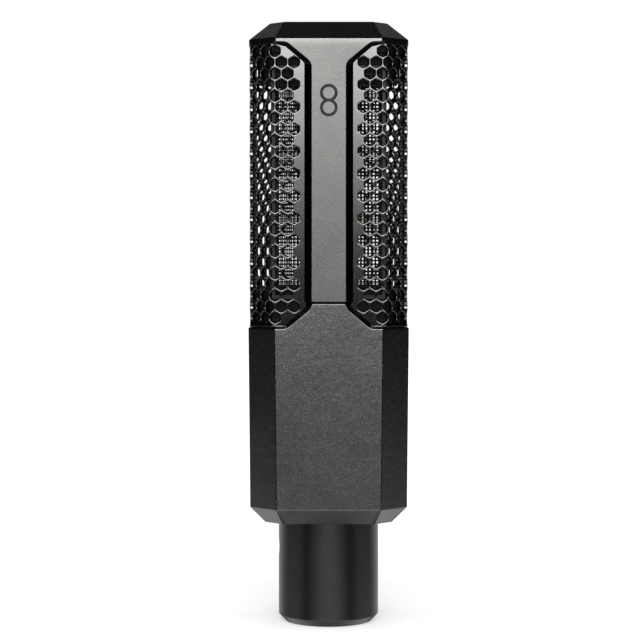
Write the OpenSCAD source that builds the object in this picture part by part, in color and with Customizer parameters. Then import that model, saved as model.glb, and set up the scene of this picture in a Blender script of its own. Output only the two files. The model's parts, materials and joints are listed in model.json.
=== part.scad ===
// Side-address ribbon microphone: eight-sided head and body on a round connector barrel.
// Millimetres, +Z up. The origin is the centre of the barrel's open rim, which it stands on.
// -Y is the front, the side that is spoken into. The rear is its mirror image.

/* [Housing] */
// Width of the body at its shoulder
body_w = 39.3; // [38:0.1:48]
// Depth of the body, front face to rear face
body_d = 33.4; // [33:0.1:41]
// How much narrower the body is at its foot than at its shoulder
body_taper = 0.8; // [0:0.1:2]
// Inset of the 45 degree corner faces, measured along the width
corner = 6.5; // [5:0.1:8]
// Height of the body from its foot to its shoulder
body_h = 48; // [44:0.5:60]
// Thickness of the body's walls and floor
wall = 2.2; // [1.6:0.1:2.4]
// Height of the sloping band at the foot of the body
foot_bevel_h = 3.9; // [2:0.1:5]
// Inset of the sloping band at the foot of the body
foot_bevel_in = 3.6; // [2:0.1:3.8]

/* [Head] */
// Height of the head, from the lower rim to the top of the cap
head_h = 74; // [70:0.5:90]
// Width of the head
head_w = 38.8; // [38:0.1:47]
// Height of the cap's sloping band
cap_bevel_h = 4.3; // [3:0.1:5]
// Inset of the cap's sloping band
cap_bevel_in = 5.1; // [3:0.1:6]
// Height of the cap's upright band, below the slope
cap_band_h = 1.5; // [1.2:0.1:3]
// Gap between the body and the head, which the gasket fills
seam = 0.3; // [0.2:0.05:0.6]
// Width of the flat face of the front and rear ribs
rib_w = 8.4; // [7:0.1:11]
// Width of the slope along each side of a rib
rib_slope = 1.7; // [1:0.1:2]
// How far the ribs stand proud of the grille
rib_proud = 1.5; // [1:0.1:2]
// Half width of the wide end of a rib, where it meets the cap
flare_half = 10.2; // [9:0.1:11]
// Height of the sloping part of the wide end of a rib
flare_h = 4.6; // [3:0.1:6]
// Height of the body's tab above its shoulder
tab_h = 6.05; // [5:0.05:7]

/* [Grille] */
// Thickness of the perforated sheet
sheet_t = 1.2; // [0.6:0.1:1.3]
// Distance between the centres of neighbouring holes
hole_pitch = 3.09; // [2.8:0.01:3.8]
// Web of metal left between neighbouring holes
web = 0.34; // [0.25:0.01:0.8]
// Solid margin beside a rib, to the first hole's centre
margin = 8.2; // [7.8:0.1:9.5]
// Thickness of the fine inner mesh
mesh_t = 0.3; // [0.2:0.05:0.4]

/* [Barrel and connector] */
// Outer diameter of the barrel
barrel_d = 24.9; // [23:0.1:25]
// Length of the barrel below the body
barrel_h = 25.6; // [24:0.1:32]
// Bore that holds the connector insert
bore_d = 19.2; // [18.6:0.1:19.4]
// Outer diameter of the threaded neck that passes through the body's floor
neck_d = 19; // [18:0.1:19.4]
// Bore through the neck for the wires
neck_bore_d = 14; // [12:0.1:15]
// Height of the chamfer round the open rim
rim_chamfer_h = 1.75; // [1:0.05:2]
// Width of the chamfer round the open rim
rim_chamfer_w = 1.6; // [1:0.05:2]
// Height of the connector screw's centre above the open rim
screw_z = 18.5; // [18:0.1:19.5]
// Length of the insulating insert
insert_h = 8; // [7.5:0.1:9]
// Diameter of a contact pin
pin_d = 2.4; // [2.2:0.05:2.5]
// How deep the tips of the pins sit inside the open rim
pin_recess = 4.3; // [3:0.1:6]

/* [Ribbon motor] */
// Width of the ribbon
ribbon_w = 2.6; // [2:0.1:3]
// Thickness of the solid that stands for the ribbon foil
ribbon_t = 0.1; // [0.08:0.01:0.15]
// Air gap between the ribbon's edge and each magnet
air_gap = 0.35; // [0.25:0.05:0.5]
// Width of each bar magnet
magnet_w = 3; // [2.4:0.1:3]
// Depth of each bar magnet
magnet_d = 4; // [3:0.1:4.6]
// Thickness of each steel yoke
yoke_t = 1; // [0.8:0.1:1.1]
// Depth of each steel yoke
yoke_d = 6; // [5.4:0.1:7]
// Height of the ribbon clamps
clamp_h = 5; // [4.6:0.1:6]
// Thickness of the rubber pads under and over the motor
pad_t = 1.5; // [1:0.1:2]
// Distance between neighbouring folds of the ribbon
fold_pitch = 1.2; // [0.9:0.1:2]
// Depth of the ribbon's folds
fold_depth = 0.4; // [0.2:0.05:0.6]

/* [Inside the head and body] */
// Height of the lower bulkhead
lower_bulkhead_h = 9.6; // [9:0.1:12]
// Height of the upper bulkhead
upper_bulkhead_h = 8; // [7:0.1:10]
// Thickness of the sled's sheet metal
sled_t = 1.5; // [1.2:0.1:1.6]
// Width of the circuit board
board_w = 22; // [20:0.5:22.4]
// Height of the circuit board
board_h = 30; // [29:0.5:31]
// Outer diameter of the transformer's windings
coil_d = 21.6; // [19:0.1:22.4]
// Length of the transformer's windings along their axis
coil_h = 9.4; // [8:0.1:9.8]

/* [Clearances] */
// Gap between parts that slide together on assembly
slip = 0.1; // [0.06:0.02:0.14]
// Radial clearance of screws and pins in their holes
hole_gap = 0.05; // [0.03:0.01:0.08]

/* [Hidden] */
$fn = 64;

// Width of the slope along each side of a tab
tab_slope = rib_slope / 2;
// Levels
body_z = barrel_h;
shoulder_z = body_z + body_h;
head_z = shoulder_z + seam;
top_z = head_z + head_h;
cap_z = top_z - cap_bevel_h;
window_z = cap_z - cap_band_h;
rim_h = 0.25;
collar_h = 1.85;
sheet_z = head_z + rim_h;
tab_z = shoulder_z + tab_h;
floor_z = body_z + wall + 0.2;

// Eight-sided outlines as [width, depth, corner inset]
body_top = [body_w, body_d, corner];
body_foot = [body_w - body_taper, body_d, corner];
head_out = [head_w, body_d, corner];
// The open top of the body stays narrower than the head that stands on it.
opening = inset([min(body_w, head_w + 0.5), body_d, corner], wall);
// The grille's side and corner faces lie just inside the cap's, and its front face behind the ribs.
sheet_in = 0.1;
sheet_w = head_w - 2 * sheet_in;
sheet_d = body_d - 2 * rib_proud;
sheet_corner = corner - sheet_in - rib_proud + sheet_in * sqrt(2);
sheet_out = [sheet_w, sheet_d, sheet_corner];
mesh_y = sheet_d / 2 - sheet_t - 0.5;
block_in = sheet_d / 2 - mesh_y + mesh_t;
block = inset(sheet_out, block_in);
collar_out = inset(sheet_out, sheet_t + slip);
collar_in = inset(sheet_out, block_in - hole_gap);
spine_half = rib_w / 2 + rib_slope - 0.5;
sheet_edge = spine_half + slip;
block_low_z = head_z + lower_bulkhead_h;
block_high_z = window_z - upper_bulkhead_h;

// Ribbon motor levels
motor_z0 = block_low_z + pad_t;
motor_z1 = block_high_z - pad_t;
magnet_z0 = motor_z0 + clamp_h + 0.2;
magnet_z1 = motor_z1 - clamp_h - 0.2;
magnet_x = ribbon_w / 2 + air_gap;
yoke_x = magnet_x + magnet_w;
motor_y = yoke_d / 2;

// Body interior
foot_w = 4;
nut_r = neck_d / 2 + 1.9;
nut_h = 3;
leg_x = nut_r + 0.3;
ear_in = 7;
sled_foot_h = 2;
plate_y = 1;
plate_z0 = floor_z + 7.5;
plate_z1 = head_z - 6;
ear_screw_x = 9.6;
coil_z = (plate_z0 + plate_z1) / 2 - 3;
board_y = plate_y + sled_t + 3;
board_t = 1.6;
board_z = (plate_z0 + plate_z1) / 2;
spacer_r = 1.9;
spacer_x = board_w / 2 - spacer_r - 0.3;
spacer_z = board_h / 2 - spacer_r - 0.3;

// Connector
insert_z = barrel_h - 1.6 - insert_h;
pin_top = barrel_h + 2;
pin_places = [[-3.81, 2.17], [3.81, 2.17], [0, -4.18]];

// ---- outlines and solids that several parts share ----

function inset(o, d) = [o[0] - 2 * d, o[1] - 2 * d, o[2] - (2 - sqrt(2)) * d];

function eight(o) = let (x = o[0] / 2, y = o[1] / 2, c = o[2]) [
    [x, -y + c], [x, y - c], [x - c, y], [-x + c, y],
    [-x, y - c], [-x, -y + c], [-x + c, -y], [x - c, -y]
];

module prism(o, z0, z1) {
    translate([0, 0, z0]) linear_extrude(height = z1 - z0) polygon(eight(o));
}

// An eight-sided solid whose outline changes from a at z0 to b at z1.
module loft(a, z0, b, z1) {
    low = [for (p = eight(a)) [p[0], p[1], z0]];
    high = [for (p = eight(b)) [p[0], p[1], z1]];
    sides = [for (i = [0:7]) [i, i + 8, (i + 1) % 8 + 8, (i + 1) % 8]];
    polyhedron(concat(low, high), concat([[for (i = [0:7]) i]], [[for (i = [15:-1:8]) i]], sides));
}

module block_xyz(x0, x1, y0, y1, z0, z1) {
    translate([x0, y0, z0]) cube([x1 - x0, y1 - y0, z1 - z0]);
}

module rod(x, y, z0, z1, r) {
    translate([x, y, z0]) cylinder(h = z1 - z0, r = r);
}

// A rod along Y from y0 to y1.
module rod_y(x, z, y0, y1, r) {
    translate([x, y0, z]) rotate([-90, 0, 0]) cylinder(h = y1 - y0, r = r);
}

// A machine screw that points up: its head is below z, and its shank above.
module screw_up(x, y, z, length, r, head_r, head_h) {
    difference() {
        union() {
            rod(x, y, z - head_h, z, head_r);
            rod(x, y, z - slip, z + length, r);
        }
        translate([x, y, z - head_h - slip])
            cylinder(h = head_h * 0.55 + slip, r = head_r * 0.55, $fn = 6);
    }
}

// The same screw pointing along +Y: its head is before y, and its shank after.
module screw_y(x, y, z, length, r, head_r, head_h) {
    translate([x, y, z]) rotate([-90, 0, 0]) screw_up(0, 0, 0, length, r, head_r, head_h);
}

// ---- round wires swept along a smooth curve ----

function unit(v) = v / norm(v);

function curve_point(p, i, t) = let (
    n = len(p) - 1,
    a = p[max(i - 1, 0)], b = p[i], c = p[min(i + 1, n)], d = p[min(i + 2, n)]
) 0.5 * (2 * b + (c - a) * t + (2 * a - 5 * b + 4 * c - d) * t * t + (3 * b - a - 3 * c + d) * t * t * t);

function curve(p, steps) = concat(
    [for (i = [0:len(p) - 2], s = [0:steps - 1]) curve_point(p, i, s / steps)], [p[len(p) - 1]]
);

module wire(p, r, steps = 4, sides = 8) {
    c = curve(p, steps);
    n = len(c);
    points = [
        for (i = [0:n - 1])
            let (
                along = unit(c[min(i + 1, n - 1)] - c[max(i - 1, 0)]),
                u = unit(cross(along, [0.24, 0.93, 0.11])),
                v = cross(along, u)
            )
            for (k = [0:sides - 1]) c[i] + r * (cos(360 * k / sides) * u + sin(360 * k / sides) * v)
    ];
    walls = [
        for (i = [0:n - 2], k = [0:sides - 1])
            let (a = i * sides + k, b = i * sides + (k + 1) % sides)
            for (f = [[a, b, b + sides], [a, b + sides, a + sides]]) [f[0], f[2], f[1]]
    ];
    ends = [[for (k = [0:sides - 1]) k], [for (k = [sides - 1:-1:0]) (n - 1) * sides + k]];
    polyhedron(points, concat(walls, ends));
}

// ---- housing ----

// The raised tab on the front of the body, which closes the lower end of a rib.
module tab() {
    y = -body_d / 2;
    hull() {
        translate([0, y + 0.01, 0]) rotate([90, 0, 0]) linear_extrude(height = 0.01)
            tab_outline(0);
        translate([0, y + rib_proud - slip, 0]) rotate([90, 0, 0]) linear_extrude(height = 0.01)
            tab_outline(tab_slope);
    }
}

// Room in front of the head's lower rim and gasket for the two tabs
module tab_room(z0, z1) {
    half = flare_half + tab_slope + slip;
    for (s = [0, 1]) mirror([0, s, 0])
        block_xyz(-half, half, -body_d, -body_d / 2 + rib_proud, z0, z1);
}

module tab_outline(grow) {
    half = rib_w / 2;
    drop = grow == 0 ? 0 : 0.02;
    polygon([
        [-flare_half - grow, shoulder_z - wall], [flare_half + grow, shoulder_z - wall],
        [flare_half + grow, shoulder_z + 0.3], [half + grow, tab_z - 0.6], [half + grow / 2, tab_z - drop],
        [-half - grow / 2, tab_z - drop], [-half - grow, tab_z - 0.6], [-flare_half - grow, shoulder_z + 0.3]
    ]);
}

module body_shell() {
    bevel_z = body_z + foot_bevel_h;
    slope = foot_bevel_in / foot_bevel_h;
    floor_in = foot_bevel_in - (floor_z - body_z) * slope + wall * sqrt(1 + slope * slope);
    inner_bevel_z = floor_z + (floor_in - wall) / slope;
    color([0.13, 0.13, 0.135]) difference() {
        union() {
            loft(inset(body_foot, foot_bevel_in), body_z, body_foot, bevel_z);
            loft(body_foot, bevel_z, body_top, shoulder_z);
            tab();
            mirror([0, 1, 0]) tab();
        }
        loft(inset(body_foot, floor_in), floor_z, inset(body_foot, wall), inner_bevel_z);
        loft(inset(body_foot, wall), inner_bevel_z, inset(body_top, wall), shoulder_z - wall);
        prism(opening, shoulder_z - wall - 0.01, tab_z + 1);
        rod(0, 0, body_z - 1, floor_z + 1, neck_d / 2 + slip);
    }
}

module barrel() {
    r = barrel_d / 2;
    step_z = insert_z + insert_h;
    color([0.07, 0.07, 0.075]) difference() {
        rotate_extrude() polygon([
            [bore_d / 2, 0], [r - rim_chamfer_w, 0], [r, rim_chamfer_h], [r, barrel_h],
            [neck_d / 2, barrel_h], [neck_d / 2, floor_z + sled_foot_h + nut_h + 0.5],
            [neck_bore_d / 2, floor_z + sled_foot_h + nut_h + 0.5], [neck_bore_d / 2, step_z],
            [bore_d / 2, step_z]
        ]);
        translate([0, 0, screw_z]) rotate([0, -90, 0]) cylinder(h = barrel_d, r = screw_r + hole_gap);
        translate([-r + 1, 0, screw_z]) rotate([0, -90, 0])
            cylinder(h = 1.5, r1 = screw_r + hole_gap, r2 = screw_r + hole_gap + 1.5);
    }
}

module barrel_nut() {
    z = floor_z + sled_foot_h;
    color([0.72, 0.62, 0.36]) difference() {
        rod(0, 0, z, z + nut_h, nut_r);
        rod(0, 0, z - 1, z + nut_h + 1, neck_d / 2 + hole_gap);
        for (a = [0:90:270]) rotate(a) block_xyz(nut_r - 1.1, nut_r + 1, -1, 1, z + 1.6, z + nut_h + 1);
    }
}

// ---- head ----

cap_screw_x = 10;
cap_roof_z = cap_z + 1.6;

module head_cap() {
    hollow = inset(head_out, cap_bevel_in + 1);
    color([0.05, 0.05, 0.055]) difference() {
        union() {
            loft(head_out, cap_z, inset(head_out, cap_bevel_in), top_z);
            intersection() {
                prism(head_out, window_z, cap_z);
                union() {
                    block_xyz(-head_w, head_w, -mesh_y - 0.5, mesh_y + 0.5, window_z, cap_z);
                    for (s = [-1, 1]) translate([s * (head_w / 2 + flare_out_half + slip), 0, 0])
                        block_xyz(-head_w / 2, head_w / 2, -body_d, body_d, window_z, cap_z);
                }
            }
            prism(collar_out, window_z - collar_h, window_z);
        }
        prism(collar_in, window_z - collar_h - 1, window_z);
        difference() {
            prism(hollow, window_z - 1, cap_roof_z);
            for (s = [-1, 1]) rod(s * cap_screw_x, 0, window_z, cap_roof_z + 1, 3);
        }
        for (s = [-1, 1]) rod(s * cap_screw_x, 0, window_z - 1, cap_z + 2.4, cap_screw_r + hole_gap);
    }
}

cap_screw_r = 1.2;
flare_out_half = head_w / 2 - corner;

module rib_flat() {
    // Front face outline of the rib's wide end, seen from the front.
    half = rib_w / 2;
    y = -body_d / 2;
    hull() {
        translate([0, y + 0.01, 0]) rotate([90, 0, 0]) linear_extrude(height = 0.01) polygon([
            [-half, window_z - flare_h], [half, window_z - flare_h], [flare_half, window_z + 0.4],
            [flare_half, cap_z], [-flare_half, cap_z], [-flare_half, window_z + 0.4]
        ]);
        translate([0, y + rib_proud, 0]) rotate([90, 0, 0]) linear_extrude(height = 0.01) polygon([
            [-half - rib_slope, window_z - flare_h - 0.4], [half + rib_slope, window_z - flare_h - 0.4],
            [flare_half + 0.5, window_z], [flare_half + 0.5, cap_z],
            [-flare_half - 0.5, cap_z], [-flare_half - 0.5, window_z]
        ]);
    }
}

module rib() {
    half = rib_w / 2;
    y = body_d / 2;
    back = y - rib_proud;
    base = half + rib_slope;
    rib_z = tab_z + seam;
    difference() {
        union() {
            translate([0, 0, rib_z]) linear_extrude(height = cap_z - rib_z) polygon([
                [-half, -y], [half, -y], [base, -back], [-base, -back]
            ]);
            block_xyz(-spine_half, spine_half, -back - 0.2, -mesh_y, rib_z, window_z - collar_h - slip);
            block_xyz(-spine_half, spine_half, -back, -mesh_y, sheet_z + collar_h + slip, rib_z + 1);
            rib_flat();
            block_xyz(-flare_out_half, flare_out_half, -y, -back, window_z, cap_z);
        }
        rib_screw_holes();
    }
}

rib_screw_r = 1;
rib_screw_zs = [sheet_z + collar_h + slip + 1.7, block_high_z + upper_bulkhead_h / 2];

// Each rib is held by a countersunk screw behind the body's tab, and by a blind one from inside.
module rib_screw_holes() {
    back = body_d / 2 - rib_proud;
    rod_y(0, rib_screw_zs[0], -back - 1, -mesh_y + 1, rib_screw_r + hole_gap);
    rod_y(0, rib_screw_zs[1], -back - 0.4, -mesh_y + 1, rib_screw_r + hole_gap);
}

mark_r = 2.15;
mark_line = 0.6;
mark_z = window_z - 13.6;
mark_t = 0.4;

module mark_rings(grow) {
    for (s = [-1, 1]) translate([0, -body_d / 2, mark_z + s * (mark_r - mark_line / 2)])
        rotate([-90, 0, 0]) difference() {
            translate([0, 0, -0.2 * (grow > 0 ? 1 : 0)])
                cylinder(h = mark_t + 0.2 * (grow > 0 ? 1 : 0), r = mark_r + grow);
            translate([0, 0, -1]) cylinder(h = mark_t + 2, r = mark_r - mark_line - grow);
        }
}

module front_rib() {
    color([0.34, 0.34, 0.34]) difference() {
        rib();
        mark_rings(0.03);
    }
}

module rear_rib() {
    color([0.34, 0.34, 0.34]) mirror([0, 1, 0]) rib();
}

module polar_mark() {
    color([0.12, 0.12, 0.12]) mark_rings(0);
}

module head_ring() {
    color([0.55, 0.55, 0.56]) difference() {
        union() {
            prism(head_out, head_z, sheet_z);
            prism(collar_out, sheet_z, sheet_z + collar_h);
        }
        prism(collar_in, head_z - 1, sheet_z + collar_h + 1);
        tab_room(head_z - 1, sheet_z + 0.01);
    }
}

module gasket() {
    color([0.05, 0.05, 0.05]) difference() {
        prism(inset(head_out, 0.8), shoulder_z, head_z);
        prism(opening, shoulder_z - 1, head_z + 1);
        tab_room(shoulder_z - 1, head_z + 1);
    }
}

// ---- perforated sheet ----

bend_x = sheet_w / 2 - sheet_corner;
bend_len = sheet_corner * sqrt(2);
side_len = sheet_d - 2 * sheet_corner;
bends = [
    bend_x, bend_x + bend_len, bend_x + bend_len + side_len, bend_x + 2 * bend_len + side_len
];
// Length of the flat sheet from the front centre line round to the rear centre line
sheet_len = 2 * bend_x + 2 * bend_len + side_len;
row_pitch = hole_pitch * sqrt(3) / 2;
hole_flat = (hole_pitch - web) / 2;
column_count = floor((sheet_len - 2 * margin) / hole_pitch);
first_u = (sheet_len - column_count * hole_pitch) / 2;
hole_r = hole_flat / cos(30);
// The rows sit a little above the middle of the sheet, with a thin land over the top row.
row_lift = 0.15;
land = 0.1;
row_span = window_z - sheet_z - 2 * (hole_r + row_lift + land);
row_count = 2 * floor(row_span / row_pitch / 2) + 1;
first_row_z = (window_z + sheet_z - (row_count - 1) * row_pitch) / 2 + row_lift;

// Place of a point that lies u along the flat sheet, as [x, y] on the right-hand sheet
function on_sheet(u) = let (
    h = sheet_d / 2, w = sheet_w / 2, c = sheet_corner, k = sqrt(0.5)
)
    u < bends[0] ? [u, -h]
    : u < bends[1] ? [bend_x + (u - bends[0]) * k, -h + (u - bends[0]) * k]
    : u < bends[2] ? [w, -h + c + u - bends[1]]
    : u < bends[3] ? [w - (u - bends[2]) * k, h - c + (u - bends[2]) * k]
    : [bend_x - (u - bends[3]), h];

// Direction that a hole at u faces: square to its own face, or half way at a bend
function facing(u) = let (
    face = len([for (b = bends) if (u >= b) b]),
    near = [for (i = [0:3]) if (abs(u - bends[i]) < hole_flat * 0.7) i]
) len(near) ? -67.5 + 45 * near[0] : -90 + 45 * face;

module grille() {
    difference() {
        translate([0, 0, sheet_z]) linear_extrude(height = window_z - sheet_z) difference() {
            polygon(eight(sheet_out));
            polygon(eight(inset(sheet_out, sheet_t)));
            translate([-sheet_w, -sheet_d]) square([sheet_w + sheet_edge, 2 * sheet_d]);
        }
        for (row = [0:row_count - 1]) {
            shift = row % 2 == 0 ? 0.5 : 0;
            ends = row == 0 || row == row_count - 1 ? 1 : 0;
            for (k = [ends:column_count - (row % 2 == 0 ? 1 : 0) - ends]) {
                u = first_u + (k + shift) * hole_pitch;
                p = on_sheet(u);
                translate([p[0], p[1], first_row_z + row * row_pitch]) rotate([0, 0, facing(u)])
                    rotate([0, 90, 0])
                        cylinder(h = 4 * sheet_t, r = hole_r, center = true, $fn = 6);
            }
        }
    }
}

module grille_right() {
    color([0.16, 0.16, 0.165]) grille();
}

module grille_left() {
    color([0.16, 0.16, 0.165]) mirror([1, 0, 0]) grille();
}

mesh_half = bend_x - 0.25;

module inner_mesh() {
    block_xyz(-mesh_half, mesh_half, -mesh_y, -mesh_y + mesh_t, block_low_z - 3, block_high_z + 3);
}

module inner_mesh_front() {
    color([0.2, 0.2, 0.2]) inner_mesh();
}

module inner_mesh_rear() {
    color([0.2, 0.2, 0.2]) mirror([0, 1, 0]) inner_mesh();
}

// ---- bulkheads and their screws ----

lead_x = 4.4;
lead_y = 4.4;
lead_r = 0.45;
coil_lead_x = spacer_x - spacer_r - lead_r - 0.3;
ribbon_lead_x = coil_lead_x - 1.3;

module upper_bulkhead() {
    color([0.06, 0.06, 0.06]) difference() {
        prism(block, block_high_z, window_z);
        for (s = [-1, 1]) {
            rod(s * cap_screw_x, 0, block_high_z - 1, window_z + 1, cap_screw_r + slip);
            rod(s * cap_screw_x, 0, block_high_z - 1, block_high_z + 2, 2.3 + slip);
            mirror([0, s < 0 ? 1 : 0, 0])
                rod_y(0, rib_screw_zs[1], -mesh_y - 1, -4, rib_screw_r + slip);
        }
        block_xyz(-7, 7, -7, 7, rib_screw_zs[1] - 2, window_z + 1);
    }
}

module lower_bulkhead() {
    color([0.06, 0.06, 0.06]) difference() {
        prism(block, head_z, block_low_z);
        for (s = [-1, 1]) {
            rod(s * ear_screw_x, 0, head_z - 1, head_z + 6.5, cap_screw_r + hole_gap);
            mirror([0, s < 0 ? 1 : 0, 0])
                rod_y(0, rib_screw_zs[0], -mesh_y - 1, -mesh_y + 5.5, rib_screw_r + hole_gap);
            rod(s * lead_x, lead_y, head_z - 1, block_low_z + 1, 1);
        }
        block_xyz(-7, 7, -7, 7, head_z - 1, block_low_z - 3);
    }
}

module cap_screws() {
    shank = upper_bulkhead_h - 2 + cap_band_h + 2;
    color([0.75, 0.75, 0.77]) for (s = [-1, 1])
        screw_up(s * cap_screw_x, 0, block_high_z + 2, shank, cap_screw_r, 2.3, 1.8);
}

module rib_screws() {
    back = body_d / 2 - rib_proud;
    color([0.75, 0.75, 0.77]) for (s = [0, 1]) mirror([0, s, 0]) {
        rod_y(0, rib_screw_zs[0], -back, -mesh_y + 5, rib_screw_r);
        mirror([0, 1, 0]) screw_y(0, 7, rib_screw_zs[1], back - 7 + 0.3, rib_screw_r, 1.8, 1.4);
    }
}

// ---- ribbon motor ----

module yoke_right() {
    color([0.5, 0.5, 0.52]) difference() {
        block_xyz(yoke_x, yoke_x + yoke_t, -motor_y, motor_y, motor_z0, motor_z1);
        motor_screw_holes();
    }
}

module yoke_left() {
    color([0.5, 0.5, 0.52]) mirror([1, 0, 0]) difference() {
        block_xyz(yoke_x, yoke_x + yoke_t, -motor_y, motor_y, motor_z0, motor_z1);
        motor_screw_holes();
    }
}

motor_screw_r = 0.6;
motor_screw_y = 1.5;

module motor_screw_holes() {
    for (z = [motor_z0 + clamp_h / 2, motor_z1 - clamp_h / 2])
        translate([yoke_x - 1.6, motor_screw_y, z]) rotate([0, 90, 0])
            cylinder(h = 4, r = motor_screw_r + hole_gap);
}

module magnet_right() {
    color([0.7, 0.7, 0.72])
        block_xyz(magnet_x, yoke_x, -magnet_d / 2, magnet_d / 2, magnet_z0, magnet_z1);
}

module magnet_left() {
    color([0.7, 0.7, 0.72]) mirror([1, 0, 0])
        block_xyz(magnet_x, yoke_x, -magnet_d / 2, magnet_d / 2, magnet_z0, magnet_z1);
}

clamp_screw_x = 2.7;
clamp_screw_r = 0.6;

module clamp_base(z0) {
    z = z0 + clamp_h / 2;
    difference() {
        block_xyz(-yoke_x, yoke_x, ribbon_t / 2, motor_y, z0, z0 + clamp_h);
        for (s = [-1, 1]) {
            rod_y(s * clamp_screw_x, z, -1, motor_y - 0.5, clamp_screw_r + hole_gap);
        }
        motor_screw_holes_both();
    }
}

module motor_screw_holes_both() {
    motor_screw_holes();
    mirror([1, 0, 0]) motor_screw_holes();
}

module clamp_bar(z0) {
    z = z0 + clamp_h / 2;
    difference() {
        block_xyz(-yoke_x + 0.3, yoke_x - 0.3, -1.5, -ribbon_t / 2, z0 + 0.6, z0 + clamp_h - 0.6);
        for (s = [-1, 1]) rod_y(s * clamp_screw_x, z, -3, 1, clamp_screw_r + hole_gap);
    }
}

module clamp_base_lower() {
    color([0.75, 0.6, 0.3]) clamp_base(motor_z0);
}

module clamp_base_upper() {
    color([0.75, 0.6, 0.3]) clamp_base(motor_z1 - clamp_h);
}

module clamp_bar_lower() {
    color([0.8, 0.65, 0.32]) clamp_bar(motor_z0);
}

module clamp_bar_upper() {
    color([0.8, 0.65, 0.32]) clamp_bar(motor_z1 - clamp_h);
}

module clamp_screws() {
    color([0.8, 0.8, 0.82]) for (s = [-1, 1], z = [motor_z0, motor_z1 - clamp_h])
        screw_y(s * clamp_screw_x, -1.5, z + clamp_h / 2, 3.6, clamp_screw_r, 1.1, 0.8);
}

module motor_screws() {
    color([0.8, 0.8, 0.82]) for (m = [0, 1], z = [motor_z0 + clamp_h / 2, motor_z1 - clamp_h / 2])
        mirror([m, 0, 0]) translate([yoke_x + yoke_t, motor_screw_y, z]) rotate([0, -90, 0])
            screw_up(0, 0, 0, yoke_t + 1.2, motor_screw_r, 1.1, 0.7);
}

// The ribbon's side view: flat in its clamps, folded to and fro between them.
module ribbon() {
    z0 = motor_z0 + 0.7;
    z1 = motor_z1 - 0.7;
    a = motor_z0 + clamp_h + 0.4;
    b = motor_z1 - clamp_h - 0.4;
    folds = floor((b - a) / fold_pitch);
    step = (b - a) / folds;
    middle = concat(
        [[0, z0], [0, a]],
        [for (i = [0:folds - 1]) [(i % 2 == 0 ? 1 : -1) * fold_depth / 2, a + (i + 0.5) * step]],
        [[0, b], [0, z1]]
    );
    n = len(middle) - 1;
    outline = concat(
        [for (i = [0:n]) [middle[i][0] + ribbon_t / 2, middle[i][1]]],
        [for (i = [n:-1:0]) [middle[i][0] - ribbon_t / 2, middle[i][1]]]
    );
    color([0.86, 0.87, 0.88]) translate([-ribbon_w / 2, 0, 0]) rotate([90, 0, 90])
        linear_extrude(height = ribbon_w) polygon(outline);
}

module pad(z0) {
    color([0.08, 0.08, 0.08]) difference() {
        block_xyz(-yoke_x - yoke_t, yoke_x + yoke_t, -motor_y, motor_y, z0, z0 + pad_t);
        rod(0, 0, z0 - 1, z0 + pad_t + 1, 1.5);
    }
}

module pad_lower() {
    pad(block_low_z);
}

module pad_upper() {
    pad(motor_z1);
}

clip_z = motor_z0 + 13;
clip_h = 8;

// Brass solder lug on the right-hand yoke, where a ribbon lead is anchored.
module lead_clip() {
    x = yoke_x + yoke_t;
    color([0.75, 0.52, 0.2]) difference() {
        union() {
            block_xyz(x, x + 0.5, -2, 2, clip_z, clip_z + clip_h);
            block_xyz(x, x + 2.6, -0.25, 0.25, clip_z + 1, clip_z + clip_h - 1);
        }
        rod_y(x + 1.6, clip_z + clip_h / 2, -1, 1, 0.5);
    }
}

module ribbon_leads() {
    x = lead_x;
    y = lead_y;
    color([0.6, 0.1, 0.08]) for (end = [[1, motor_z1 - 1.6], [-1, motor_z0 + 1.6]])
        wire([
            [end[0] * 3.2, motor_y + 0.2, end[1]], [end[0] * 3.6, y - 0.4, end[1]],
            [end[0] * x, y, end[1] - 1.4], [end[0] * x, y, block_low_z], [end[0] * x, y, head_z + 0.5],
            [end[0] * ribbon_lead_x, 2.2, plate_z1 + 2.6], [end[0] * ribbon_lead_x, -1.2, plate_z1],
            coil_tap(end[0] * ribbon_lead_x, -3)
        ], lead_r);
}

// A point on the transformer's rim
function coil_tap(x, y) = [x, y, coil_z + sqrt(pow(coil_d / 2, 2) - x * x) + 0.2];

// Wires from the transformer through the sled to the board
module coil_leads() {
    z = plate_z1 - 3.5;
    color([0.85, 0.8, 0.5]) for (s = [-1, 1]) wire([
        coil_tap(s * coil_lead_x, -1.6), [s * coil_lead_x, -1.4, z - 2.4], [s * coil_lead_x, 0, z],
        [s * coil_lead_x, plate_y + sled_t, z], [s * coil_lead_x, board_y - 0.05, z]
    ], lead_r);
}

// ---- sled, transformer and circuit board ----

module sled() {
    z1 = head_z;
    color([0.6, 0.6, 0.62]) difference() {
        union() {
            rod(0, 0, floor_z, floor_z + sled_foot_h, nut_r);
            block_xyz(-leg_x - sled_t, leg_x + sled_t, -foot_w, foot_w, floor_z, floor_z + sled_foot_h);
            for (m = [0, 1]) mirror([m, 0, 0]) {
                block_xyz(leg_x, leg_x + sled_t, -foot_w, foot_w, floor_z, z1);
                block_xyz(ear_in, leg_x + 0.1, -foot_w, foot_w, z1 - sled_t, z1);
            }
            block_xyz(-leg_x - 0.1, leg_x + 0.1, plate_y, plate_y + sled_t, plate_z0, plate_z1);
        }
        rod(0, 0, floor_z - 1, floor_z + sled_foot_h + 1, neck_d / 2 + slip);
        for (s = [-1, 1]) rod(s * ear_screw_x, 0, z1 - sled_t - 1, z1 + 1, cap_screw_r + slip);
        rod_y(0, coil_z, plate_y - 1, plate_y + sled_t + 1, bolt_r + slip);
        board_holes(plate_y - 1, plate_y + sled_t + 1);
        for (s = [-1, 1])
            rod_y(s * coil_lead_x, plate_z1 - 3.5, plate_y - 1, plate_y + sled_t + 1, 1.2);
    }
}

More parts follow.
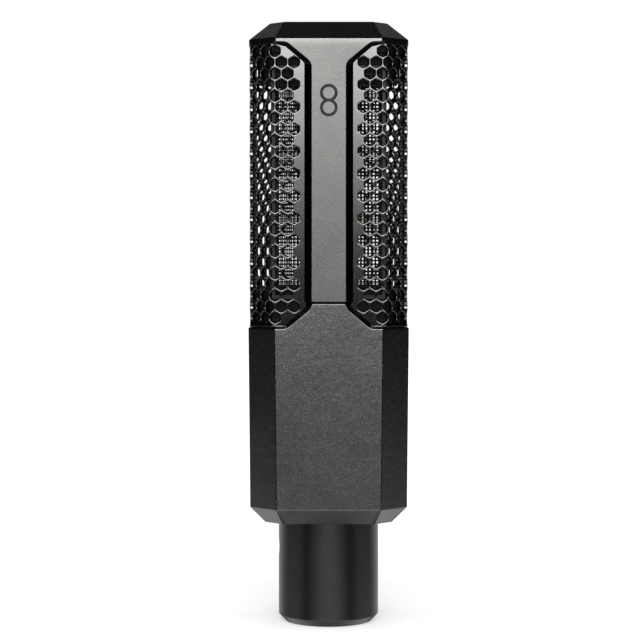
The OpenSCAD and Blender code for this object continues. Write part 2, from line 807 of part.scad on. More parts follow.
module sled_screws() {
    color([0.75, 0.75, 0.77]) for (s = [-1, 1])
        screw_up(s * ear_screw_x, 0, head_z - sled_t, sled_t + 5.6, cap_screw_r, 2, 1.6);
}

bolt_r = 1.5;
core_r = coil_d / 2 - 2;
core_hole_r = 4.6;

// Ring core, wound on every side, held to the sled by a bolt through its middle.
module transformer_core() {
    y = plate_y - coil_h + 1.5;
    color([0.35, 0.35, 0.37]) difference() {
        rod_y(0, coil_z, y, plate_y - 1.5, core_r);
        rod_y(0, coil_z, y - 1, plate_y + 1, core_hole_r);
    }
}

module transformer_coil() {
    y = plate_y - coil_h;
    color([0.55, 0.3, 0.12]) difference() {
        rod_y(0, coil_z, y, plate_y, coil_d / 2);
        rod_y(0, coil_z, y - 1, plate_y + 1, core_hole_r - 2);
        difference() {
            rod_y(0, coil_z, y + 1.5, plate_y - 1.5, core_r);
            rod_y(0, coil_z, y, plate_y, core_hole_r);
        }
    }
}

washer_t = 1;

module transformer_washer() {
    y = plate_y - coil_h - washer_t;
    color([0.7, 0.7, 0.72]) difference() {
        rod_y(0, coil_z, y, y + washer_t, 6.5);
        rod_y(0, coil_z, y - 1, y + washer_t + 1, bolt_r + slip);
    }
}

module transformer_bolt() {
    y = plate_y - coil_h - washer_t;
    color([0.75, 0.75, 0.77]) screw_y(0, y, coil_z, coil_h + washer_t + sled_t + 2, bolt_r, 2.7, 1.6);
}

module transformer_nut() {
    y = plate_y + sled_t;
    color([0.75, 0.75, 0.77]) difference() {
        translate([0, y, coil_z]) rotate([-90, 0, 0]) cylinder(h = 1.8, r = 3, $fn = 6);
        rod_y(0, coil_z, y - 1, y + 4, bolt_r + hole_gap);
    }
}

board_screw_r = 0.9;

// Clearance for the four board screws, from y0 to y1
module board_holes(y0, y1) {
    for (sx = [-1, 1], sz = [-1, 1])
        rod_y(sx * spacer_x, board_z + sz * spacer_z, y0, y1, board_screw_r + hole_gap);
}

module circuit_board() {
    half_w = board_w / 2;
    half_h = board_h / 2;
    color([0.06, 0.25, 0.14]) difference() {
        block_xyz(-half_w, half_w, board_y, board_y + board_t, board_z - half_h, board_z + half_h);
        board_holes(board_y - 1, board_y + board_t + 1);
    }
}

module board_spacers() {
    color([0.72, 0.62, 0.36]) difference() {
        for (sx = [-1, 1], sz = [-1, 1])
            rod_y(sx * spacer_x, board_z + sz * spacer_z, plate_y + sled_t, board_y, spacer_r);
        board_holes(plate_y, board_y + 1);
    }
}

module board_screws() {
    color([0.75, 0.75, 0.77]) for (sx = [-1, 1], sz = [-1, 1])
        mirror([0, 1, 0]) screw_y(
            sx * spacer_x, -board_y - board_t, board_z + sz * spacer_z,
            board_t + 3 + sled_t - 0.1, board_screw_r, 1.6, 1.1
        );
}

face_y = board_y + board_t;

module capacitors() {
    color([0.1, 0.13, 0.3]) {
        for (s = [-1, 1]) rod_y(s * 4.6, board_z + 8.6, face_y, face_y + 5, 3);
        rod_y(0, board_z - 10, face_y, face_y + 5.4, 2.5);
    }
    color([0.6, 0.15, 0.1]) for (s = [-1, 1])
        block_xyz(s * 7.4 - 1.2, s * 7.4 + 1.2, face_y, face_y + 4, board_z - 4, board_z + 3);
}

module resistors() {
    color([0.75, 0.65, 0.45]) for (i = [0:3])
        rod((i - 1.5) * 2.6, face_y + 1, board_z - 5.6, board_z - 0.6, 1);
}

module transistors() {
    color([0.05, 0.05, 0.05]) for (s = [-1, 1]) difference() {
        rod(s * 2.9, face_y + 2.4, board_z + 0.6, board_z + 4.8, 2.4);
        block_xyz(s * 2.9 - 3, s * 2.9 + 3, face_y + 3.6, face_y + 6, board_z, board_z + 6);
    }
}

// ---- connector ----

screw_r = 1.1;

module connector_insert() {
    color([0.05, 0.05, 0.05]) difference() {
        rod(0, 0, insert_z, insert_z + insert_h, bore_d / 2 - slip);
        for (p = pin_places) rod(p[0], p[1], insert_z - 1, insert_z + insert_h + 1, pin_d / 2 + hole_gap);
        translate([0, 0, screw_z]) rotate([0, -90, 0]) cylinder(h = barrel_d, r = screw_r + hole_gap);
        block_xyz(-7, 0, -screw_r - hole_gap, screw_r + hole_gap, screw_z, screw_z + 1);
    }
}

module connector_pins() {
    color([0.83, 0.66, 0.3]) for (p = pin_places) difference() {
        translate([p[0], p[1], 0]) rotate_extrude() polygon([
            [0, pin_recess], [pin_d / 2 - 0.5, pin_recess], [pin_d / 2, pin_recess + 0.8],
            [pin_d / 2, pin_top], [0, pin_top]
        ]);
        rod(p[0], p[1], pin_top - 1.6, pin_top + 1, pin_d / 2 - 0.4);
    }
}

module connector_screw() {
    r = barrel_d / 2;
    color([0.5, 0.5, 0.5]) difference() {
        union() {
            translate([-6.5, 0, screw_z]) rotate([0, -90, 0]) cylinder(h = r - 6.5 - 0.9, r = screw_r);
            translate([-r + 1 + hole_gap, 0, screw_z]) rotate([0, -90, 0])
                cylinder(h = 0.7, r1 = screw_r, r2 = screw_r + 0.7);
        }
        translate([-r + 1, 0, screw_z]) rotate([0, -90, 0]) cylinder(h = 3, r = 0.7, $fn = 6);
    }
}

wire_r = 0.5;

module signal_wires() {
    z = board_z - board_h / 2 + 1;
    y = board_y + board_t + wire_r;
    low = min(z - 3.6, plate_z0 - 1.4);
    color([0.8, 0.8, 0.78]) for (i = [0:2]) {
        p = pin_places[i];
        x = [-4, 4, 0][i];
        wire([
            [x, y, z + 1.2], [x, y, z - 1], [x * 0.9, y - 1.6, low], [p[0], p[1], pin_top + 3],
            [p[0], p[1], pin_top + 0.6], [p[0], p[1], pin_top - 1.2]
        ], wire_r);
    }
}

body_shell();
barrel();
barrel_nut();
head_cap();
front_rib();
rear_rib();
polar_mark();
head_ring();
gasket();
grille_left();
grille_right();
inner_mesh_front();
inner_mesh_rear();
upper_bulkhead();
lower_bulkhead();
cap_screws();
rib_screws();
yoke_left();
yoke_right();
magnet_left();
magnet_right();
clamp_base_upper();
clamp_base_lower();
clamp_bar_upper();
clamp_bar_lower();
clamp_screws();
motor_screws();
ribbon();
pad_upper();
pad_lower();
lead_clip();
ribbon_leads();
coil_leads();
sled();
sled_screws();
transformer_core();
transformer_coil();
transformer_washer();
transformer_bolt();
transformer_nut();
circuit_board();
board_spacers();
board_screws();
capacitors();
resistors();
transistors();
connector_insert();
connector_pins();
connector_screw();
signal_wires();
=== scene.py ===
"""Looks of the ribbon microphone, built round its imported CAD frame. Lengths below are millimetres."""

import json
import math

import bpy
import numpy as np
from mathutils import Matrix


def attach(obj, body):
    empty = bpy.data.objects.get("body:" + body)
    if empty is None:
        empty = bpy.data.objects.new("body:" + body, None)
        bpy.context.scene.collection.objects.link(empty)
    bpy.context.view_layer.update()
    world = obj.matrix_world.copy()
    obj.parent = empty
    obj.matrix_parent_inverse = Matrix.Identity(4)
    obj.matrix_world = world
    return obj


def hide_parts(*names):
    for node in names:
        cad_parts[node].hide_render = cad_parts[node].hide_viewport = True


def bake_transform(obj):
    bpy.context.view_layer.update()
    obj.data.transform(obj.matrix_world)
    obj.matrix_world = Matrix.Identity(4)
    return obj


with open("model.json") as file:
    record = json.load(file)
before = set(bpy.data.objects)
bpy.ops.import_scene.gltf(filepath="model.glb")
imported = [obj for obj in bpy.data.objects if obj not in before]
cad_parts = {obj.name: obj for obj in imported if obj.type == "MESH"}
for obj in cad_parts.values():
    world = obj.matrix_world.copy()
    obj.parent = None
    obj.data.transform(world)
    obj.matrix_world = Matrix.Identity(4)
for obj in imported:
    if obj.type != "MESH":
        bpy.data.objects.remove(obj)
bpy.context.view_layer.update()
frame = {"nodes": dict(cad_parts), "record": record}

MM = 0.001
ROOT2 = math.sqrt(2)

# Heights above the open rim that the microphone stands on
FOOT_Z = 25.6
BEVEL_Z = 29.5
SHOULDER_Z = 73.6
HEAD_Z = 73.9
SHEET_Z = 74.15
RIB_Z = 79.95
WINDOW_Z = 142.1
CAP_Z = 143.6
TOP_Z = 147.9

# Eight-sided outlines as (width, depth, corner inset)
BODY_FOOT = (38.5, 33.4, 6.5)
BODY_TOP = (39.3, 33.4, 6.5)
HEAD = (38.8, 33.4, 6.5)
SHEET = (38.6, 30.4, 5.0414)

# Distances in front of the middle plane, and of the ribs behind it
FRONT_Y = 16.69
SHEET_FACE_Y = 15.2


# ---- meshes ----

def put(name, points, faces, slot, replaced=(), body="root"):
    """A smooth mesh from points in millimetres and arrays of face corners. It rides on a body, if one is
    given, and stands for the replaced CAD nodes."""
    faces = [np.asarray(f, np.int64) for f in faces if len(f)]
    corners = np.concatenate([f.ravel() for f in faces])
    sizes = np.concatenate([np.full(len(f), f.shape[1]) for f in faces])
    mesh = bpy.data.meshes.new(name)
    mesh.vertices.add(len(points))
    mesh.vertices.foreach_set("co", (np.asarray(points, float) * MM).astype(np.float32).ravel())
    mesh.loops.add(len(corners))
    mesh.loops.foreach_set("vertex_index", corners.astype(np.int32))
    mesh.polygons.add(len(sizes))
    mesh.polygons.foreach_set("loop_start", (np.cumsum(sizes) - sizes).astype(np.int32))
    mesh.polygons.foreach_set("use_smooth", np.ones(len(sizes), bool))
    mesh.update(calc_edges=True)
    mesh.validate()
    piece = bpy.data.objects.new(name, mesh)
    bpy.context.scene.collection.objects.link(piece)
    if body:
        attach(piece, body)
    if replaced:
        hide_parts(*replaced)
    piece.data.materials.append(FINISHES[slot])
    return piece


CRISP_DEG = 48


def flats(piece):
    """Face normals weighted by area, so that flat faces stay flat beside their rounded edges. Corners of more
    than CRISP_DEG stay crisp."""
    piece.data.set_sharp_from_angle(angle=math.radians(CRISP_DEG))
    weigh = piece.modifiers.new("flats", "WEIGHTED_NORMAL")
    weigh.keep_sharp = True
    weigh.weight = 100


def grid_faces(rows, columns, wrap_rows=False, wrap_columns=False, flip=False):
    """Quads between neighbouring points of a grid that is numbered row by row."""
    r = np.arange(rows if wrap_rows else rows - 1)[:, None]
    c = np.arange(columns if wrap_columns else columns - 1)[None, :]
    r1, c1 = (r + 1) % rows, (c + 1) % columns
    quads = np.stack([r * columns + c, r * columns + c1, r1 * columns + c1, r1 * columns + c], -1)
    quads = quads.reshape(-1, 4)
    return quads[:, ::-1] if flip else quads


def merged(quads, digits=5):
    """Points and faces of loose quads (n, 4, 3), with equal points made one. A quad with one closed side
    becomes a triangle, and one with more of them is dropped."""
    keys = np.round(quads.reshape(-1, 3), digits)
    _, first, places = np.unique(keys, axis=0, return_index=True, return_inverse=True)
    points = quads.reshape(-1, 3)[first]
    corners = places.reshape(-1, 4)
    same = corners == np.roll(corners, -1, axis=1)
    whole = ~same.any(1)
    faces = [corners[whole]]
    for k in range(4):
        folded = same[:, k] & (same.sum(1) == 1)
        faces.append(np.delete(corners[folded], k, axis=1))
    return points, faces


def mirrored(points, faces, axis):
    """The same surface on the other side of the middle plane, with its faces turned back outwards."""
    points = np.array(points, float)
    points[:, axis] *= -1
    return points, [np.asarray(f)[:, ::-1] for f in faces]


# ---- eight-sided outlines ----

def inset(outline, d):
    """The outline moved inwards by d all round."""
    w, depth, c = outline
    return (w - 2 * d, depth - 2 * d, c - (2 - ROOT2) * d)


def corners_of(outline):
    """The eight corners, counter-clockwise from the left end of the front face."""
    w, d, c = outline
    x, y = w / 2, d / 2
    return np.array([
        [-x + c, -y], [x - c, -y], [x, -y + c], [x, y - c],
        [x - c, y], [-x + c, y], [-x, y - c], [-x, -y + c],
    ])


FACE_TURN = np.radians(np.arange(8) * 45 - 90)
ARC_STEPS = 5
PLAIN = np.linspace(0, 1, 9)[1:-1]


class Ring:
    """Columns round an eight-sided outline: an arc at each corner, and points at set shares of each face."""

    def __init__(self, shares):
        weights, bends, turns, face = [], [], [], []
        for i in range(8):
            turn = FACE_TURN[i] + np.linspace(-math.pi / 4, 0, ARC_STEPS)
            before, after = FACE_TURN[i] - math.pi / 4, FACE_TURN[i]
            centre = np.array([
                math.cos(before) + math.cos(after), math.sin(before) + math.sin(after)
            ]) / (1 + math.cos(math.pi / 4))
            corner = np.zeros((ARC_STEPS, 8))
            corner[:, i] = 1
            weights.append(corner)
            bends.append(np.stack([np.cos(turn), np.sin(turn)], 1) - centre)
            turns.append(turn)
            face.append(np.full(ARC_STEPS, -1))
            share = np.asarray(shares[i], float)
            along = np.zeros((len(share), 8))
            along[:, i] = 1 - share
            along[:, (i + 1) % 8] = share
            weights.append(along)
            bends.append(np.zeros((len(share), 2)))
            turns.append(np.full(len(share), FACE_TURN[i]))
            face.append(np.full(len(share), i))
        self.weights = np.concatenate(weights)
        self.bends = np.concatenate(bends)
        self.turns = np.concatenate(turns)
        self.face = np.concatenate(face)
        self.count = len(self.face)

    def at(self, outline, radius):
        """Column points: shares of the corners, plus each corner's arc of the given radius."""
        return self.weights @ corners_of(outline) + radius * self.bends


def rounded(path, radii, steps=4):
    """A polyline (n, 2) whose corners are arcs: each corner is cut back by radius * tan(half its turn)."""
    path = np.asarray(path, float)
    out = []
    for i, radius in enumerate(radii):
        if radius == 0:
            out.append(path[i:i + 1])
            continue
        a, b, c = path[i - 1], path[i], path[(i + 1) % len(path)]
        u, v = (a - b) / np.linalg.norm(a - b), (c - b) / np.linalg.norm(c - b)
        half = math.acos(np.clip(u @ v, -1, 1)) / 2
        centre = b + (u + v) / np.linalg.norm(u + v) * radius / math.sin(half)
        p, q = b + u * radius / math.tan(half) - centre, b + v * radius / math.tan(half) - centre
        t = np.linspace(0, 1, steps + 1)[:, None]
        sweep = math.pi - 2 * half
        arc = (np.sin((1 - t) * sweep) * p + np.sin(t * sweep) * q) / math.sin(sweep)
        out.append(centre + arc)
    return np.concatenate(out)


# ---- finishes ----

class Nodes:
    """A node tree under construction: nodes are added by kind, and joined by socket name."""

    def __init__(self, tree):
        self.tree = tree

    def node(self, kind, inputs=None, **settings):
        made = self.tree.nodes.new(kind)
        for key, value in settings.items():
            setattr(made, key, value)
        for key, value in (inputs or {}).items():
            if isinstance(value, bpy.types.NodeSocket):
                self.tree.links.new(value, made.inputs[key])
            else:
                made.inputs[key].default_value = value
        return made

    def range(self, value, low, high, out_low=0.0, out_high=1.0, **settings):
        return self.node("ShaderNodeMapRange", {
            "Value": value, "From Min": low, "From Max": high, "To Min": out_low, "To Max": out_high,
        }, **settings).outputs["Result"]

    def math(self, operation, a, b=0.0):
        return self.node("ShaderNodeMath", {0: a, 1: b}, operation=operation).outputs[0]


class Finish(Nodes):
    """A material under construction. Constant sockets of its shader are given as keywords."""

    def __init__(self, name, **shader):
        self.material = bpy.data.materials.new(name)
        self.material.use_nodes = True
        super().__init__(self.material.node_tree)
        self.shader = self.tree.nodes["Principled BSDF"]
        self.place = self.node("ShaderNodeTexCoord").outputs["Object"]
        for socket, value in shader.items():
            self.shader.inputs[socket.replace("_", " ")].default_value = value

    def noise(self, size, detail=2.0, roughness=0.5, stretch=(1, 1, 1), distortion=0.0):
        """Noise whose features are about size millimetres across, stretched along an axis where asked."""
        place = self.place
        if stretch != (1, 1, 1):
            place = self.node("ShaderNodeMapping", {"Vector": place, "Scale": stretch}).outputs[0]
        return self.node("ShaderNodeTexNoise", {
            "Vector": place, "Scale": 1 / (size * MM), "Detail": detail, "Roughness": roughness,
            "Distortion": distortion,
        }).outputs["Fac"]

    def mix(self, share, a, b):
        made = self.node("ShaderNodeMix", {"Factor": share}, data_type="RGBA")
        for socket, value in ((made.inputs[6], a), (made.inputs[7], b)):
            if isinstance(value, bpy.types.NodeSocket):
                self.tree.links.new(value, socket)
            else:
                socket.default_value = (*value, 1)
        return made.outputs[2]

    def set(self, socket, value):
        self.tree.links.new(value, self.shader.inputs[socket])

    def bump(self, *layers):
        """Bumps one over another; a layer is (height, millimetres)."""
        normal = None
        for height, depth in layers:
            inputs = {"Height": height, "Distance": depth * MM, "Strength": 1.0}
            if normal is not None:
                inputs["Normal"] = normal
            normal = self.node("ShaderNodeBump", inputs).outputs["Normal"]
        self.set("Normal", normal)


def grey(value, warmth=0.0):
    """A grey with a little red added and blue taken away, as a colour."""
    return (value * (1 + warmth), value, value * (1 - warmth))


def coated(name, dark, light, rough, grain, grain_depth, metallic=1.0, mottle=9.0, blackened=None):
    """Coated metal: fine grain in the height and the gloss, and slow drift in the colour. All that lies nearer
    to the middle plane than the depth blackened, in millimetres, is black."""
    f = Finish(name, Metallic=metallic)
    fine = f.noise(grain, 3.0, 0.6)
    broad = f.noise(mottle, 4.0, 0.55)
    speck = f.noise(grain * 0.6, 1.0)
    drift = f.math("ADD", f.math("MULTIPLY", broad, 0.5), f.math("MULTIPLY", speck, 0.5))
    colour = f.mix(f.range(drift, 0.35, 0.65), dark, light)
    if blackened:
        depth = f.math("ABSOLUTE", f.node("ShaderNodeSeparateXYZ", {"Vector": f.place}).outputs["Y"])
        colour = f.mix(f.range(depth, (blackened - 0.1) * MM, blackened * MM), grey(0.02), colour)
    f.set("Base Color", colour)
    f.set("Roughness", f.range(fine, 0.3, 0.7, rough[0], rough[1]))
    f.bump((f.noise(grain * 4, 1.0), grain_depth * 1.5), (fine, grain_depth))
    return f.material


def plated(name, dark, light, rough, grain=0.25, scratch=0.0, stretch=(1, 1, 1), metallic=1.0):
    """Bare or plated metal: fine drawn or tumbled marks in the gloss, and faint stains in the colour."""
    f = Finish(name, Metallic=metallic)
    marks = f.noise(grain, 4.0, 0.65, stretch)
    stain = f.noise(5.0, 4.0, 0.6, distortion=0.6)
    f.set("Base Color", f.mix(f.range(stain, 0.3, 0.7), dark, light))
    f.set("Roughness", f.range(marks, 0.3, 0.7, rough[0], rough[1]))
    f.bump((marks, max(scratch, 0.002)))
    return f.material


def moulded(name, dark, light, rough, grain=0.3, depth=0.008, specular=0.45):
    """Moulded plastic or rubber: spark-eroded grain, slow colour drift, and dusty specks."""
    f = Finish(name, Specular_IOR_Level=specular)
    fine = f.noise(grain, 4.0, 0.7)
    drift = f.noise(6.0, 3.0)
    f.set("Base Color", f.mix(f.range(f.math("MULTIPLY", drift, fine), 0.15, 0.4), dark, light))
    f.set("Roughness", f.range(fine, 0.25, 0.75, rough[0], rough[1]))
    f.bump((fine, depth))
    return f.material


# A wave texture's scale times its pitch
BAND_SCALE = 0.314


def wound(name, dark, light, pitch):
    """Enamelled winding wire: ridges one wire apart that run across the ring, broken up by noise."""
    f = Finish(name, Metallic=0.7, Coat_Weight=0.6, Coat_Roughness=0.15)
    sway = f.noise(2.5, 2.0)
    waves = f.node("ShaderNodeTexWave", {
        "Vector": f.place, "Scale": BAND_SCALE / (pitch * MM), "Distortion": 1.5,
        "Detail": 1.0, "Detail Scale": 1.5,
    }, wave_type="BANDS", bands_direction="X").outputs["Fac"]
    f.set("Base Color", f.mix(f.math("MULTIPLY", waves, f.range(sway, 0.2, 0.7)), dark, light))
    f.set("Roughness", f.range(waves, 0, 1, 0.45, 0.25))
    f.bump((waves, 0.06))
    return f.material


def board_finish():
    """Green solder mask with buried tracks: brick-like runs of copper under lacquer, and a faint weave."""
    f = Finish("board_green", Coat_Weight=0.5, Coat_Roughness=0.2)
    turned = f.node("ShaderNodeMapping", {"Vector": f.place, "Rotation": (math.pi / 2, 0, 0)}).outputs[0]
    tracks = f.node("ShaderNodeTexBrick", {
        "Vector": turned, "Scale": 1 / (9 * MM), "Mortar Size": 0.02, "Mortar Smooth": 0.3,
    }).outputs["Fac"]
    weave = f.noise(0.5, 2.0)
    base = f.mix(f.range(weave, 0.3, 0.7), (0.006, 0.06, 0.028), (0.01, 0.085, 0.04))
    f.set("Base Color", f.mix(tracks, base, (0.03, 0.17, 0.07)))
    f.set("Roughness", f.range(weave, 0.3, 0.7, 0.32, 0.48))
    f.bump((tracks, 0.03), (weave, 0.004))
    return f.material


def banded_finish():
    """Resistor bodies: glossy tan lacquer with darker colour bands across their length."""
    f = Finish("resistor_tan", Coat_Weight=0.4, Coat_Roughness=0.1)
    bands = f.node("ShaderNodeTexWave", {
        "Vector": f.place, "Scale": BAND_SCALE / (1.1 * MM), "Distortion": 0.0,
    }, wave_type="BANDS", bands_direction="Z").outputs["Fac"]
    drift = f.noise(1.5, 2.0)
    body = f.mix(drift, (0.5, 0.37, 0.2), (0.62, 0.48, 0.28))
    f.set("Base Color", f.mix(f.range(bands, 0.78, 0.84), body, (0.16, 0.035, 0.02)))
    f.set("Roughness", f.range(drift, 0.3, 0.7, 0.3, 0.45))
    f.bump((drift, 0.02))
    return f.material


FINISHES = {
    "body_paint": coated(
        "body_paint", grey(0.155, 0.01), grey(0.225, 0.02), (0.19, 0.28), 0.42, 0.0115, mottle=12),
    "barrel_black": coated("barrel_black", grey(0.095, 0.01), grey(0.125, 0.01), (0.22, 0.28), 0.18, 0.0012),
    "cap_black": coated("cap_black", grey(0.06), grey(0.09), (0.22, 0.32), 0.35, 0.006, 0.98),
    "rib_metal": coated(
        "rib_metal", grey(0.155, 0.02), grey(0.195, 0.03), (0.25, 0.32), 0.3, 0.004, blackened=16.6),
    "grille_metal": coated("grille_metal", grey(0.19, 0.02), grey(0.25, 0.02), (0.09, 0.14), 0.25, 0.001),
    "mesh_metal": plated("mesh_metal", grey(0.025), grey(0.045), (0.35, 0.5), 0.2),
    "mark_ink": moulded("mark_ink", grey(0.02), grey(0.03), (0.45, 0.6), 0.2, 0.004, 0.25),
    "ring_metal": coated("ring_metal", grey(0.09), grey(0.13), (0.24, 0.32), 0.25, 0.003, 0.96),
    "gasket_rubber": moulded("gasket_rubber", grey(0.006), grey(0.010), (0.6, 0.8), specular=0.2),
    "bulkhead_plastic": moulded("bulkhead_plastic", grey(0.006), grey(0.010), (0.6, 0.75), 0.35, 0.010, 0.12),
    "screw_steel": plated("screw_steel", grey(0.52), grey(0.62), (0.22, 0.36), 0.2, 0.003),
    "yoke_steel": plated("yoke_steel", grey(0.38), grey(0.48), (0.3, 0.45), 0.3, 0.004, (1, 1, 0.08)),
    "magnet_nickel": plated("magnet_nickel", grey(0.55, 0.02), grey(0.66, 0.03), (0.15, 0.28), 0.4, 0.002),
    "clamp_brass": plated("clamp_brass", (0.55, 0.36, 0.12), (0.70, 0.48, 0.18), (0.22, 0.38), 0.25, 0.003),
    "ribbon_foil": plated("ribbon_foil", grey(0.80), grey(0.88), (0.2, 0.35), 0.15, 0.004),
    "pad_rubber": moulded("pad_rubber", grey(0.012), grey(0.018), (0.65, 0.85)),
    "wire_red": moulded("wire_red", (0.33, 0.02, 0.015), (0.42, 0.035, 0.02), (0.35, 0.5), 0.5, 0.01),
    "wire_cream": moulded("wire_cream", (0.55, 0.5, 0.38), (0.66, 0.62, 0.5), (0.35, 0.5), 0.5, 0.01),
    "sled_aluminium": plated("sled_aluminium", grey(0.6), grey(0.7), (0.28, 0.45), 0.3, 0.005, (1, 1, 0.06)),
    "core_iron": plated("core_iron", grey(0.16), grey(0.24), (0.4, 0.6), 0.25, 0.006, metallic=0.8),
    "coil_copper": wound("coil_copper", (0.16, 0.05, 0.015), (0.62, 0.25, 0.08), 0.45),
    "board_green": board_finish(),
    "capacitor_blue": moulded(
        "capacitor_blue", (0.012, 0.02, 0.09), (0.02, 0.035, 0.14), (0.25, 0.4), 0.6, 0.006),
    "resistor_tan": banded_finish(),
    "transistor_black": moulded("transistor_black", grey(0.012), grey(0.02), (0.4, 0.6), 0.25, 0.008),
    "insert_plastic": moulded("insert_plastic", grey(0.012), grey(0.020), (0.3, 0.45), 0.4, 0.006),
    "pin_gold": plated("pin_gold", (0.72, 0.5, 0.16), (0.84, 0.62, 0.24), (0.15, 0.28), 0.3, 0.002),
}

SLOT_OF = {
    row["node"]: row.get("material_slot") for row in frame["record"].get("subparts", []) if row.get("node")
}


# ---- body ----

TAB_UP = 6.05
# Right half of the top edge of the front face, from the corner face in to the middle: across, up
TAB_PATH = np.array([
    [13.1, 0], [11.9, 0], [11.1, 0], [10.6, 0.06], [10.1, 0.24], [9.6, 0.55], [9.0, 1.04],
    [7.8, 2.04], [6.6, 3.04], [5.6, 3.88], [5.05, 4.37], [4.7, 4.8], [4.46, 5.3], [4.3, 5.66],
    [4.12, 5.88], [3.9, 6.01], [3.64, TAB_UP], [3.2, TAB_UP], [2.2, TAB_UP], [1.1, TAB_UP],
])


BODY_WALL = 2.2
FLOOR_TOP_Z = 28.0
FLOOR_HOLE_R = 9.65
EDGE_R = 0.36
TAB_T = 1.4
TAB_TUCK = 0.85


def body_skin():
    """Body shell as one grid. There is a column at each place round the outline. A row is one step along the
    section: hole in the floor, foot, sloping band, side, rounded top edge, back of the tab, inner wall, floor.
    On the front and rear faces the top edge follows the tab, and the rounding runs square to that edge on the
    front. The rear repeats the front's shifts column by column, which shears the rounding on its slopes."""
    half = BODY_TOP[0] / 2 - BODY_TOP[2]
    across = np.concatenate([-TAB_PATH[:, 0], [0], TAB_PATH[::-1, 0]])
    up = np.concatenate([TAB_PATH[:, 1], [TAB_PATH[-1, 1]], TAB_PATH[::-1, 1]])
    share = (across / half + 1) / 2
    ring = Ring([share, PLAIN, PLAIN, PLAIN, share, PLAIN, PLAIN, PLAIN])
    n = ring.count
    slope = np.gradient(np.stack([across, up], 1), axis=0)
    slope /= np.linalg.norm(slope, axis=1)[:, None]
    fade_up, fade_across = 0.6, 1.8
    on_slope = np.clip(up / fade_up, 0, 1) * np.clip((TAB_UP - up) / fade_up, 0.05, 1)
    lift, side, rise, tuck, hold = np.zeros(n), np.zeros(n), np.ones(n), np.zeros(n), np.zeros(n)
    for face in (0, 4):
        on = ring.face == face
        lift[on], side[on], rise[on] = up, -slope[:, 1], slope[:, 0]
        tuck[on] = TAB_TUCK * on_slope
        hold[on] = np.clip((TAB_PATH[0, 0] - np.abs(across)) / fade_across, 0, 1)

    def level(d, z, radius=0.45):
        share_up = np.clip((z - BEVEL_Z) / (SHOULDER_Z - BEVEL_Z), 0, 1)
        w = BODY_FOOT[0] + (BODY_TOP[0] - BODY_FOOT[0]) * share_up
        xy = ring.at(inset((w, BODY_FOOT[1], BODY_FOOT[2]), d), max(radius - 0.3 * d, 0.05))
        return np.column_stack([xy, np.full(n, z)])

    def edge(d, out):
        """A ring near the top edge: depth d behind the face, and out beyond the edge line in its own plane."""
        p = level(d, SHOULDER_Z)
        p[:, 2] += lift + rise * out
        p[:, 0] += side * out
        # Behind the face the columns keep their places across, although the outline narrows.
        p[:, 0] += hold * (ROOT2 - 1) * d * np.clip(p[:, 0] / half, -1, 1)
        return p

    def hole(z):
        xy = level(0, z)[:, :2]
        a = np.arctan2(xy[:, 1], xy[:, 0])
        return np.column_stack([FLOOR_HOLE_R * np.cos(a), FLOOR_HOLE_R * np.sin(a), np.full(n, z)])

    outer = rounded([(8, FOOT_Z), (3.6, FOOT_Z), (0, BEVEL_Z), (0, 60)], [0, 0.3, 0.45, 0])
    rows = [hole(FOOT_Z)] + [level(d, z, 0.45 + d * 0.75) for d, z in outer[1:-1]]
    rows += [level(0, z) for z in (33, 42, 52, 62, 70, 72)]
    turned = np.radians(range(0, 91, 18))
    rows += [edge(EDGE_R * (1 - math.cos(a)), EDGE_R * (math.sin(a) - 1)) for a in turned]
    back = edge(TAB_T, 0)
    back[:, 2] += rise * tuck
    back[:, 0] += side * tuck
    ledge = back.copy()
    ledge[:, 2] = SHOULDER_Z - 0.05
    rows += [back, ledge, level(BODY_WALL, SHOULDER_Z - 0.05)]
    rows += [level(BODY_WALL, 31.5), level(4.3, FLOOR_TOP_Z), hole(FLOOR_TOP_Z)]
    faces = grid_faces(len(rows), n, wrap_rows=True, wrap_columns=True)
    flats(put("body_skin", np.concatenate(rows), [faces], "body_paint", ["body_shell"]))


# ---- cap ----

RIB_T = 1.56
ROOF_Z = 142.4


